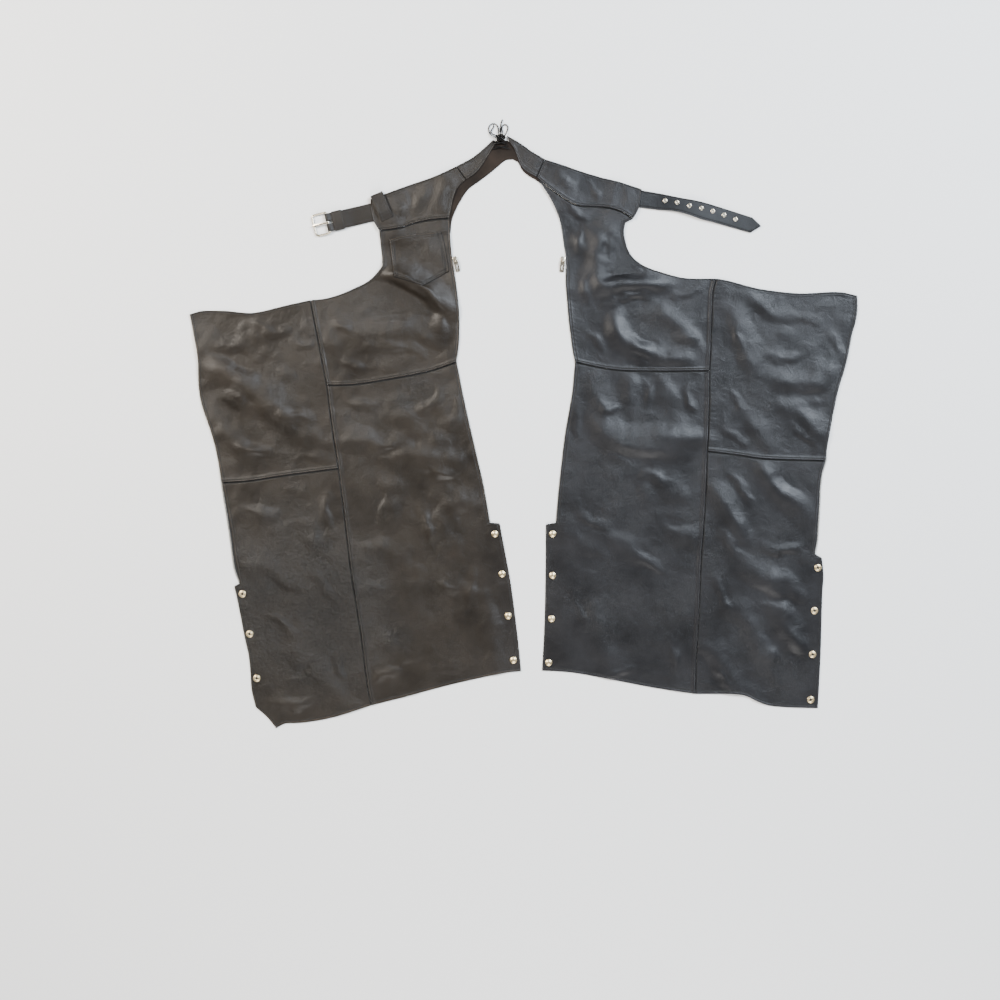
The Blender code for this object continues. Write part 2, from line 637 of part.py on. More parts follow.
for slider in SLIDERS:
    body_place = lying(slider.x, slider.y, SLIDER_BODY / 2, slider.angle)
    body = extruded(f"slider_{slider.side}", [mirrored(BODY_HALF)], SLIDER_BODY, body_place, NICKEL)
    rings = [arc(0, 0, BAIL_HOLE + BAIL_WALL, 0, 330, 11), arc(0, 0, BAIL_HOLE, 0, 330, 11)]
    bail_place = standing(slider.x, slider.y, HINGE, slider.angle)
    cut(body, extruded(f"bail_{slider.side}", rings, BAIL_WIDE, bail_place, NICKEL), "UNION")
    pull_place = lying(slider.x, slider.y, HINGE, slider.angle) @ Matrix.Rotation(PULL_TILT, 4, "Y")
    holes = [oblong(0.9, 4.2, 3.0), oblong(9, PULL - 4.5, 1.8)]
    extruded(f"pull_{slider.side}", [mirrored(PULL_HALF), *holes], PULL_THICK, pull_place, NICKEL)

# --- belt, left side: strap, keeper, buckle and loop; s runs along the strap from the buckle's bar ---
BAR = (-408, 437)
BAR_HEIGHT = 4.4
WIRE = 2.0  # radius of the buckle's wire
EYE = WIRE + GAP
EYE_WALL = 1.5
BUCKLE_TURN = radians(193.4)
STRAP_WIDE = 38.0
STRAP_LONG = 106.0  # from the bar to the end that is sewn in
BUCKLE_LONG = 30.0  # from bar to bar
BUCKLE_HALF = 22.0  # from the middle to a side
KEEPER = (-32.0, -11.0)  # far enough back for the prong to lie over, with the buckle upright
KEEPER_WALL = 1.2
PRONG_WIDE = 3.6
PRONG_SLOT = (-9.5, 7.0)

strap_lower = [(-STRAP_LONG, 0), (-62, 0), (-50, 0.5), (-41, 1.4), (-34, 1.9), (-8, 1.9)]
strap_upper = [(s, z + STRAP) for s, z in reversed(strap_lower)]
eye_ring = arc(0, BAR_HEIGHT, EYE + EYE_WALL, -100, 100, 10)
eye_hole = arc(0, BAR_HEIGHT, EYE, 0, 330, 11)
at_bar = standing(*BAR, 0, BUCKLE_TURN)
strap_outline = strap_lower + eye_ring + strap_upper
buckle_strap = extruded("buckle_strap", [strap_outline, eye_hole], STRAP_WIDE, at_bar, HIDE)
bm = bmesh.new()
bmesh.ops.create_cube(bm, size=MM)
bmesh.ops.scale(bm, verts=bm.verts, vec=(PRONG_SLOT[1] - PRONG_SLOT[0], 20, 6))
bmesh.ops.translate(bm, verts=bm.verts, vec=(sum(PRONG_SLOT) / 2 * MM, 0, 0))
cut(buckle_strap, solid("prong_slot", bm, HIDE, at_bar))

keeper_middle = sum(KEEPER) / 2
keeper_place = at_bar @ Matrix.Translation((keeper_middle * MM, 0, 0)) @ Matrix.Rotation(-pi / 2, 4, "Y")
keeper_low, keeper_high, keeper_half = 1.5, 5.4, STRAP_WIDE / 2 + 0.4


def keeper_outline(grow, corner):
    half, low, high = keeper_half + grow, keeper_low - grow, keeper_high + grow
    flank = [(half, low + corner), (half, high - corner)]
    ends = [(half - corner, low), *flank, (half - corner, high)]
    return ends + [(-x, z) for x, z in reversed(ends)]


rings = [keeper_outline(KEEPER_WALL, 1.6), keeper_outline(0, 0.5)]
extruded("keeper", rings, KEEPER[1] - KEEPER[0], keeper_place, HIDE)

far_bar = WIRE + GAP
drop = asin((BAR_HEIGHT - far_bar) / BUCKLE_LONG)
near = 2.3  # corner radii of the wire
far = 6.0
frame_half = [
    *arc(near, BUCKLE_HALF - near, near, 180, 90, 3),
    *arc(BUCKLE_LONG - far, BUCKLE_HALF - far, far, 90, 0, 4),
]
frame_place = lying(*BAR, BAR_HEIGHT, BUCKLE_TURN) @ Matrix.Rotation(drop, 4, "Y")
wire("buckle_frame", mirrored(frame_half), WIRE, NICKEL, cyclic=True, place=frame_place)

tongue_end = far_bar + WIRE + GAP - BAR_HEIGHT  # the prong's underside where it lies on the far bar
prong = [
    *arc(0, 0, EYE + 1.4, 80, 390, 12),
    (6, 1.2),
    (BUCKLE_LONG - 2, tongue_end + 0.1),
    (BUCKLE_LONG + 3, tongue_end + 0.1),
    (BUCKLE_LONG + 4, tongue_end + 1.0),
    (BUCKLE_LONG + 1, tongue_end + 2.4),
]
ring_hole = arc(0, 0, EYE, 0, 330, 11)
extruded("prong", [prong, ring_hole], PRONG_WIDE, standing(*BAR, BAR_HEIGHT, BUCKLE_TURN), NICKEL)

# The loop is a band over the yoke's end: q runs down it from the waist edge, mm above the surface in z.
LOOP_TOP = (-307, 498)
LOOP_TURN = radians(-66.5)
LOOP_WIDE = 27.0
loop_inside = [(2.0, 0.4), (2.0, 7.0), (5.5, 9.8), (14, 10.2), (42, 10.2), (52, 8.4), (58.5, 5.4)]
loop_outside = [(60, 6.6), (53, 9.9), (43, 11.7), (13, 11.7), (4.2, 11.0), (0.5, 7.6), (0.5, 0.4)]
extruded("belt_loop", [loop_inside + loop_outside], LOOP_WIDE, standing(*LOOP_TOP, 0, LOOP_TURN), HIDE)

# --- belt, right side: the punched strap, bowed up a little between its end and its tip ---
STRAP_BOW = 4.0
STRAP_BOW_MIDDLE = 352
STRAP_BOW_HALF = 100
strap_grid = patch(
    top=edge(Run([(230, 508), (278, 500), (331, 489), (373, 481), (415, 469), (482, 448)], 12)),
    bottom=edge(
        Run([(227, 472), (278, 465), (314, 462), (341, 456), (373, 445), (404, 437), (478, 416)], 12)
    ),
    left=edge(Run([(230, 508), (227, 472)], 2)),
    right=edge(Run([(482, 448), (501, 430)], 1), Run([(501, 430), (478, 416)], 1)),
)
bow = STRAP_BOW * rise(np.abs(strap_grid[..., 0] - STRAP_BOW_MIDDLE) / STRAP_BOW_HALF)
punched_strap = sheet("punched_strap", strap_grid, bow, STRAP, HIDE)

EYELET_HOLE = 2.9
EYELET_RADIUS = 5.0
EYELET = [
    (3.4, 1.0), (EYELET_RADIUS, 0.4), (EYELET_RADIUS, 0), (2.4, 0), (2.4, -3.0), (1.8, -3.0), (1.8, 0.7),
]
seats = [top_of(punched_strap, x, y, EYELET_RADIUS) + GAP for x, y in EYELETS]
bm = bmesh.new()
for x, y in EYELETS:
    bmesh.ops.create_cone(
        bm, cap_ends=True, segments=10, radius1=EYELET_HOLE * MM, radius2=EYELET_HOLE * MM, depth=0.04,
        matrix=Matrix.Translation((x * MM, y * MM, 0)),
    )
cut(punched_strap, solid("punch", bm, HIDE))
for number, ((x, y), seat) in enumerate(zip(EYELETS, seats), 1):
    turned(f"eyelet_{number}", EYELET, (x, y, seat), NICKEL)

# --- lace: a round thong, crossed over the back opening, then a knot, a bow and two free ends ---
THONG_RADIUS = 1.1
LIES = THONG_RADIUS + GAP  # the middle of a strand that lies on the surface
ON_YOKE = FACING_LIFT + LEATHER + LIES
OVER = ON_YOKE + 2 * THONG_RADIUS + GAP
KNOT = (-46, 615, 5.1)
KNOT_RADII = (8.5, 6.5, 4.0)
STRANDS = [
    Strand("lacing_under", [
        (-62, 606.5, ON_YOKE), (-47, 604, ON_YOKE), (-36, 601.5, ON_YOKE), (-33, 599.3, ON_YOKE),
        (-36, 597, ON_YOKE), (-47, 595, ON_YOKE), (-64, 591, ON_YOKE),
    ]),
    Strand("lacing_over", [
        (-30, 606.5, ON_YOKE), (-46, 603.8, OVER), (-57, 601.5, ON_YOKE + 0.4), (-60, 599.3, ON_YOKE),
        (-57, 597, ON_YOKE + 0.4), (-46, 595.2, OVER), (-27, 591.5, ON_YOKE),
    ]),
    Strand("lace_bow_left", [
        (-54.7, 616.5, 5.4), (-60, 617.5, 5.0), (-65.5, 620.5, 3.8), (-69.5, 626, 2.2), (-71, 633, LIES),
        (-69.5, 640, LIES), (-65, 644, LIES), (-59, 645, LIES), (-54, 642, LIES), (-51, 636, 1.8),
        (-50.2, 629, 3.4), (-50, 621.1, 5.2),
    ]),
    Strand("lace_end_left", [
        (-53.8, 619.8, 5.4), (-58.4, 620.7, 4.8), (-62.8, 622.7, 3.6), (-65.6, 626.4, 2.2), (-65.4, 631, LIES),
        (-62.6, 634.8, LIES), (-60.6, 638.8, LIES), (-60.2, 642, LIES),
    ]),
    Strand("lace_bow_right", [
        (-41.6, 621.5, 5.4), (-42.4, 626.5, 3.9), (-43, 632, 2.1), (-43.1, 637, LIES), (-41.1, 641.5, LIES),
        (-37, 643.2, LIES), (-32.9, 641.5, LIES), (-30.9, 637, LIES), (-31.4, 632, 1.9), (-33.8, 625, 3.8),
        (-37.4, 618.4, 5.4),
    ]),
    Strand("lace_end_right", [
        (-45.8, 621.9, 5.4), (-46, 628, 3.4), (-46.2, 635, LIES), (-45, 645, LIES), (-42, 654, LIES),
    ]),
]
for strand in STRANDS:
    curve = smooth(strand.route)
    wire(strand.name, spaced(curve, round(lengths(curve)[-1] / (5 * THONG_RADIUS))), THONG_RADIUS, THONG)
bm = bmesh.new()
bmesh.ops.create_uvsphere(bm, u_segments=12, v_segments=8, radius=MM)
bmesh.ops.scale(bm, verts=bm.verts, vec=KNOT_RADII)
solid("lace_knot", bm, THONG, Matrix.Translation(Vector(KNOT) * MM))

# --- the middle of the garment goes to the origin ---
for made in (*parts.objects, *cutters.objects):
    made.location -= Vector((*MIDDLE, 0)) * MM
for made in parts.objects:
    if made.type == "MESH":
        made.data.shade_smooth()
        made.data.set_sharp_from_angle(angle=radians(35))
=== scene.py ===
"""Leather chaps laid open on a pale floor, outside up and waist at +Y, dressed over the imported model.

Lengths are millimetres until a mesh is made, apart from the lamps' and the shaders', which are metres. Places
in the tables are in the frame that the cut is drawn in, where the model's own middle lies at MIDDLE. Sections
follow the object as it is put together: the room, the lace, the hide panels with their sewing, the facing,
the pocket, the zips, the belt and the snaps.
"""

from collections import namedtuple

import bpy
import numpy as np
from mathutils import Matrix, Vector


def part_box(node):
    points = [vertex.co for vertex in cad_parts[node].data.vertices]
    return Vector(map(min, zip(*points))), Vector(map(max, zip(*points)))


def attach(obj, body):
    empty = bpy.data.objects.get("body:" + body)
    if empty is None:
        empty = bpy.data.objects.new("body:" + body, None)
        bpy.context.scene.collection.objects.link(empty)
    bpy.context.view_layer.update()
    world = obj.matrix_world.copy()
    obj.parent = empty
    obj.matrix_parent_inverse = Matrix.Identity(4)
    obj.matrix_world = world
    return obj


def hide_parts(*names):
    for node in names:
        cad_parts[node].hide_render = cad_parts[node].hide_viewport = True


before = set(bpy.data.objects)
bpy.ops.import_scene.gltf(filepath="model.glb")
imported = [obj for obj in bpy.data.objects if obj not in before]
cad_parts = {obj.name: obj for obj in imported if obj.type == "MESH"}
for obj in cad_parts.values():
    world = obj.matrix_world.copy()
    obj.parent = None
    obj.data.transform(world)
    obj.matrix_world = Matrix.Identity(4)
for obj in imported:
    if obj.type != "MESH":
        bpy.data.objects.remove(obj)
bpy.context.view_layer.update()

# --- the room ---
# A plain pale floor, and a camera straight above it that takes in 2.1 m each way. The light is soft: a cool
# window high on the right, a warmer lamp on the left and a weak fill from the hems.
MM = 0.001
VIEW_WIDE = 2100.0
VIEW_MIDDLE = (-49.65, -143.7)
LENS = 60.0
SENSOR = 36.0
FLOOR_DROP = 0.4
FLOOR_REACH = 6000.0


def finish(name, colour, roughness, **values):
    """A material with plain values; what varies is linked to its shader afterwards."""
    made = bpy.data.materials.new(name)
    made.use_nodes = True
    shader = made.node_tree.nodes["Principled BSDF"]
    shader.inputs["Base Color"].default_value = (*colour, 1)
    shader.inputs["Roughness"].default_value = roughness
    for key, value in values.items():
        shader.inputs[key.replace("_", " ")].default_value = value
    return made, made.node_tree, shader


def mesh_piece(name, points, faces, skin, sharp=40.0):
    """An object at the origin, from points in millimetres and faces as rows of point numbers."""
    mesh = bpy.data.meshes.new(name)
    mesh.from_pydata((np.asarray(points) * MM).tolist(), [], faces)
    mesh.materials.append(skin)
    mesh.shade_smooth()
    mesh.set_sharp_from_angle(angle=np.radians(sharp))
    made = bpy.data.objects.new(name, mesh)
    bpy.context.scene.collection.objects.link(made)
    return made


floor_corners = [(x, y, -FLOOR_DROP) for x, y in ((-1, -1), (1, -1), (1, 1), (-1, 1)) * np.array(FLOOR_REACH)]
floor = mesh_piece("floor", floor_corners, [(0, 1, 2, 3)], finish("floor", (0.86, 0.86, 0.85), 0.9)[0])

Lamp = namedtuple("Lamp", "name place aim size power colour")
LAMPS = [
    Lamp("window", (1.9, 1.7, 2.6), (0.2, -0.1, 0), 1.6, 270, (0.80, 0.89, 1.0)),
    Lamp("lamp", (-2.2, 1.3, 2.2), (-0.3, -0.1, 0), 1.2, 175, (1.0, 0.93, 0.84)),
    Lamp("fill", (0.3, -2.9, 2.0), (0, -0.2, 0), 2.0, 125, (1.0, 0.98, 0.96)),
]
for lamp in LAMPS:
    light = bpy.data.lights.new(lamp.name, "AREA")
    light.size = lamp.size
    light.energy = lamp.power
    light.color = lamp.colour
    holder = bpy.data.objects.new(lamp.name, light)
    holder.location = lamp.place
    holder.rotation_euler = (Vector(lamp.aim) - Vector(lamp.place)).to_track_quat("-Z", "Y").to_euler()
    bpy.context.scene.collection.objects.link(holder)
world = bpy.data.worlds.new("room")
world.use_nodes = True
world.node_tree.nodes["Background"].inputs["Color"].default_value = (0.95, 0.97, 1.0, 1)
world.node_tree.nodes["Background"].inputs["Strength"].default_value = 0.3
bpy.context.scene.world = world

camera = bpy.data.objects.new("camera", bpy.data.cameras.new("camera"))
camera.data.lens = LENS
camera.data.sensor_width = SENSOR
camera.location = Vector((*VIEW_MIDDLE, VIEW_WIDE * LENS / SENSOR)) * MM
bpy.context.scene.collection.objects.link(camera)
bpy.context.scene.camera = camera

# --- the lace ---
# A round leather thong, crossed over the back opening, knotted, and let out in two bows and two free ends
# that come down to the floor. The routes are its centre lines, point by point as it lies.
MIDDLE = np.array((2.4, -1.2))
THONG_RADIUS = 1.1
CLEAR = 0.3
YOKE_TOP = 3.4
LIES = THONG_RADIUS + CLEAR
ON_YOKE = YOKE_TOP + LIES
OVER = ON_YOKE + 2 * THONG_RADIUS + CLEAR
KNOT = (-46, 615, 5.1)
KNOT_RADII = (9.9, 8.2, 4.2)
KNOT_ROUNDS = 3
KNOT_WAVES = 5
KNOT_FLATTER = 0.75
KNOT_STRAND = 1.3 * THONG_RADIUS


def dress(piece, slot, body, *nodes):
    """The piece rides on a body and stands for CAD nodes, which are hidden; the slot is not used."""
    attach(piece, body)
    if nodes:
        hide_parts(*nodes)
    return piece


def node(tree, kind, inputs=None, **settings):
    """A shader node with its settings, and its inputs by name or number: a link where a socket is given."""
    made = tree.nodes.new(kind)
    for setting, value in settings.items():
        setattr(made, setting, value)
    for key, value in (inputs or {}).items():
        if isinstance(value, bpy.types.NodeSocket):
            tree.links.new(value, made.inputs[key])
        else:
            made.inputs[key].default_value = value
    return made


def over_object(tree):
    """A point's place on the object, which patterns are laid over."""
    return node(tree, "ShaderNodeTexCoord").outputs["Object"]


def noise(tree, scale, detail, **inputs):
    """Soft noise laid over the object, at so many waves for each metre."""
    inputs = {"Vector": over_object(tree), "Scale": scale, "Detail": detail, **inputs}
    return node(tree, "ShaderNodeTexNoise", inputs).outputs["Fac"]


def raise_surface(tree, shader, height, strength, depth):
    """A pattern lifts the surface by up to a depth in millimetres, as far as light is concerned."""
    bump = node(tree, "ShaderNodeBump", {"Height": height, "Strength": strength, "Distance": depth * MM})
    tree.links.new(bump.outputs["Normal"], shader.inputs["Normal"])


def lengths(curve):
    """How far along a curve each of its points is."""
    return np.concatenate([[0], np.cumsum(np.linalg.norm(np.diff(curve, axis=0), axis=1))])


def smooth(points, samples=24):
    """A Catmull-Rom curve: between two points, the cubic whose slope at each is set by its two neighbours."""
    p = np.array(points, float)
    p = np.vstack([2 * p[0] - p[1], p, 2 * p[-1] - p[-2]])
    t = np.linspace(0, 1, samples, endpoint=False)[None, :, None]
    a, b, c, d = (p[i : len(p) - 3 + i, None] for i in range(4))
    bend = (2 * a - 5 * b + 4 * c - d) * t**2 + (3 * b - a - 3 * c + d) * t**3
    run = 0.5 * (2 * b + (c - a) * t + bend)
    return np.vstack([run.reshape(-1, p.shape[1]), p[-2:-1]])


def read_along(curve, at):
    """The points of a curve at the given lengths along it."""
    along = lengths(curve)
    return np.stack([np.interp(at, along, axis) for axis in curve.T], 1)


def frames_along(ahead):
    """For each direction ahead, three unit ones: ahead, level across, and up square to both."""
    ahead = ahead / np.maximum(np.linalg.norm(ahead, axis=1), 1e-9)[:, None]
    across = np.cross(ahead, (0, 0, 1.0))
    across /= np.maximum(np.linalg.norm(across, axis=1), 1e-9)[:, None]
    return np.stack([ahead, across, np.cross(across, ahead)], 1)


def ring_faces(rings, sides, closed):
    """The quads between rings of points that follow one another, and where the run is open, its two ends."""
    here = np.arange(sides)
    beside = (here + 1) % sides
    row = np.arange(rings if closed else rings - 1)[:, None] * sides
    after = (row + sides) % (rings * sides)
    faces = np.stack([row + here, after + here, after + beside, row + beside], -1).reshape(-1, 4).tolist()
    if not closed:
        last = (rings - 1) * sides
        faces += [list(range(sides)), list(range(last + sides - 1, last - 1, -1))]
    return faces


def tube(path, radius, sides=12, closed=False):
    """A ring (cos a, sin a) of a radius, carried along a path, square to it and level across.

    Towards an open end the ring shrinks as the square root of 1 - (1 - s)^2, which rounds the end off.
    """
    scale = np.ones(len(path))
    ahead = np.roll(path, -1, 0) - np.roll(path, 1, 0)
    if not closed:
        total = lengths(path)[-1]
        near = np.array([0.04, 0.25, 0.6, 1.0]) * radius
        inside = np.linspace(near[-1], total - near[-1], max(3, round(total / radius)))[1:-1]
        at = np.concatenate([near, inside, total - near[::-1]])
        path = read_along(path, at)
        ahead = np.gradient(path, axis=0)
        from_end = np.minimum(1, np.minimum(at, total - at) / radius)
        scale = np.sqrt(1 - (1 - from_end) ** 2)
    turn = np.linspace(0, 2 * np.pi, sides, endpoint=False)
    ring = radius * np.stack([0 * turn, np.cos(turn), np.sin(turn)], 1) @ frames_along(ahead)
    points = (path[:, None] + scale[:, None, None] * ring).reshape(-1, 3)
    return points, ring_faces(len(path), sides, closed)


thong, thong_tree, thong_shader = finish("thong", (0.0030, 0.0028, 0.0026), 0.55, Specular_IOR_Level=0.16)
raise_surface(thong_tree, thong_shader, noise(thong_tree, 900, 3), 0.5, 0.4)

LACE_ENDS = {
    "lace_bow_left": [
        (-54.7, 616.5, 5.4), (-60, 617.5, 5.0), (-65.5, 620.5, 3.8), (-69.5, 626, 2.2), (-71, 633, LIES),
        (-69.5, 640, LIES), (-65, 644, LIES), (-59, 645, LIES), (-54, 642, LIES), (-51, 636, 1.8),
        (-50.2, 629, 3.4), (-50, 621.1, 5.2),
    ],
    "lace_end_left": [
        (-53.8, 619.8, 5.4), (-58.4, 620.7, 4.8), (-62.8, 622.7, 3.6), (-65.6, 626.4, 2.2),
        (-65.4, 631, LIES), (-62.6, 634.8, LIES), (-60.6, 638.8, LIES), (-60.2, 642, LIES),
    ],
    "lace_bow_right": [
        (-41.6, 621.5, 5.4), (-42.4, 626.5, 3.9), (-43, 632, 2.1), (-43.1, 637, LIES), (-41.1, 641.5, LIES),
        (-37, 643.2, LIES), (-32.9, 641.5, LIES), (-30.9, 637, LIES), (-31.4, 632, 1.9), (-33.8, 625, 3.8),
        (-37.4, 618.4, 5.4),
    ],
    "lace_end_right": [
        (-45.8, 621.9, 5.4), (-46, 628, 3.4), (-46.2, 635, LIES), (-45, 645, LIES), (-42, 654, LIES),
    ],
}
LACE_CROSSINGS = {
    "lacing_under": [
        (-62, 606.5, ON_YOKE), (-47, 604, ON_YOKE), (-36, 601.5, ON_YOKE), (-33, 599.3, ON_YOKE),
        (-36, 597, ON_YOKE), (-47, 595, ON_YOKE), (-64, 591, ON_YOKE),
    ],
    "lacing_over": [
        (-30, 606.5, ON_YOKE), (-46, 603.8, OVER), (-57, 601.5, ON_YOKE + 0.4), (-60, 599.3, ON_YOKE),
        (-57, 597, ON_YOKE + 0.4), (-46, 595.2, OVER), (-27, 591.5, ON_YOKE),
    ],
}
for name, route in {**LACE_ENDS, **LACE_CROSSINGS}.items():
    curve = smooth(np.array(route) - (*MIDDLE, 0))
    path = read_along(curve, np.linspace(0, lengths(curve)[-1], round(lengths(curve)[-1] / THONG_RADIUS)))
    strand = dress(mesh_piece(f"{name}_thong", *tube(path, THONG_RADIUS), thong), "lace_thong", "root", name)

# The knot, braided tight: a line that goes three times round while it moves in and out, and up and down,
# five times, (2 + cos 5t) / 3 far from the middle.
turn = np.linspace(0, 2 * np.pi, 180, endpoint=False)
reach = (2 + np.cos(KNOT_WAVES * turn)) / 3
winding = KNOT_ROUNDS * turn
braid = np.stack([reach * np.cos(winding), reach * np.sin(winding), np.sin(KNOT_WAVES * turn)], 1)
tight = braid * (np.array(KNOT_RADII) - THONG_RADIUS) * (1, 1, KNOT_FLATTER) + KNOT - (*MIDDLE, 0)
knot = mesh_piece("lace_knot_thong", *tube(tight, KNOT_STRAND, closed=True), thong)
dress(knot, "lace_thong", "root", "lace_knot")

# --- how the hide lies ---
# One layer of soft cowhide, sewn from twelve panels. Its large folds come from the model's own tops, read as
# a map of heights. The smaller creases are laid over it, soft troughs and ridges of uneven length.
HIDE = 1.5
CELL = 2.5
PASSES = 12
MARGIN = 20.0
PARTS = ("thigh", "shin", "back_thigh", "back_calf", "yoke", "back_yoke")
PANEL_NODES = [f"{leg}_{part}" for leg in ("left", "right") for part in PARTS]


def facets(name):
    """A CAD node's points, mm, with equal ones merged, and its upward triangles as rows of point numbers."""
    mesh = bpy.data.objects[name].data
    corners = np.empty(3 * len(mesh.vertices))
    mesh.vertices.foreach_get("co", corners)
    points, merged = np.unique(np.round(corners.reshape(-1, 3) / MM, 2), axis=0, return_inverse=True)
    mesh.calc_loop_triangles()
    triangles = np.empty(3 * len(mesh.loop_triangles), int)
    mesh.loop_triangles.foreach_get("vertices", triangles)
    triangles = merged.ravel()[triangles].reshape(-1, 3)
    a, b, c = points[triangles].transpose(1, 0, 2)
    facing = np.cross(b - a, c - a)
    return points, triangles[facing[:, 2] > 0.3 * np.linalg.norm(facing, axis=1)]


def height_map(names):
    """A function of x and y: the height of some nodes' tops.

    Every facet's plane is read at the middle of each cell below it. The map is then softened: in each pass a
    cell keeps half of its height and takes a quarter from either neighbour, in X and in Y. A cell with no
    facet counts for nothing, so heights carry on a little past the edges.
    """
    tops = np.concatenate([points[upper] for points, upper in map(facets, names)])
    low = tops[..., :2].min((0, 1)) - MARGIN
    shape = ((tops[..., :2].max((0, 1)) + MARGIN - low) / CELL).astype(int) + 1
    total, weight = np.zeros(shape), np.zeros(shape)
    for corners in tops:
        first = ((corners[:, :2].min(0) - low) / CELL).astype(int)
        last = ((corners[:, :2].max(0) - low) / CELL).astype(int) + 1
        block = tuple(slice(i, j) for i, j in zip(first, last))
        middles = [low[k] + CELL * (np.arange(first[k], last[k]) + 0.5) for k in (0, 1)]
        x, y = np.meshgrid(*middles, indexing="ij")
        (ax, ay, az), (bx, by, bz), (cx, cy, cz) = corners
        double = (bx - ax) * (cy - ay) - (cx - ax) * (by - ay)
        v = ((x - ax) * (cy - ay) - (cx - ax) * (y - ay)) / double
        w = ((bx - ax) * (y - ay) - (x - ax) * (by - ay)) / double
        inside = (v >= 0) & (w >= 0) & (v + w <= 1)
        total[block][inside] = (az + v * (bz - az) + w * (cz - az))[inside]
        weight[block][inside] = 1

    def softened(cells, axis):
        return 0.5 * cells + 0.25 * (np.roll(cells, 1, axis) + np.roll(cells, -1, axis))

    for axis in (0, 1) * PASSES:
        total, weight = softened(total, axis), softened(weight, axis)
    heights = total / np.maximum(weight, 1e-9)

    def height(x, y):
        """The map between its four nearest cells."""
        column, row = (x - low[0]) / CELL - 0.5, (y - low[1]) / CELL - 0.5
        i = np.clip(column.astype(int), 0, shape[0] - 2)
        j = np.clip(row.astype(int), 0, shape[1] - 2)
        u, v = column - i, row - j
        near = heights[i, j] * (1 - u) + heights[i + 1, j] * u
        far = heights[i, j + 1] * (1 - u) + heights[i + 1, j + 1] * u
        return near * (1 - v) + far * v

    return height


hide_top = height_map(PANEL_NODES)

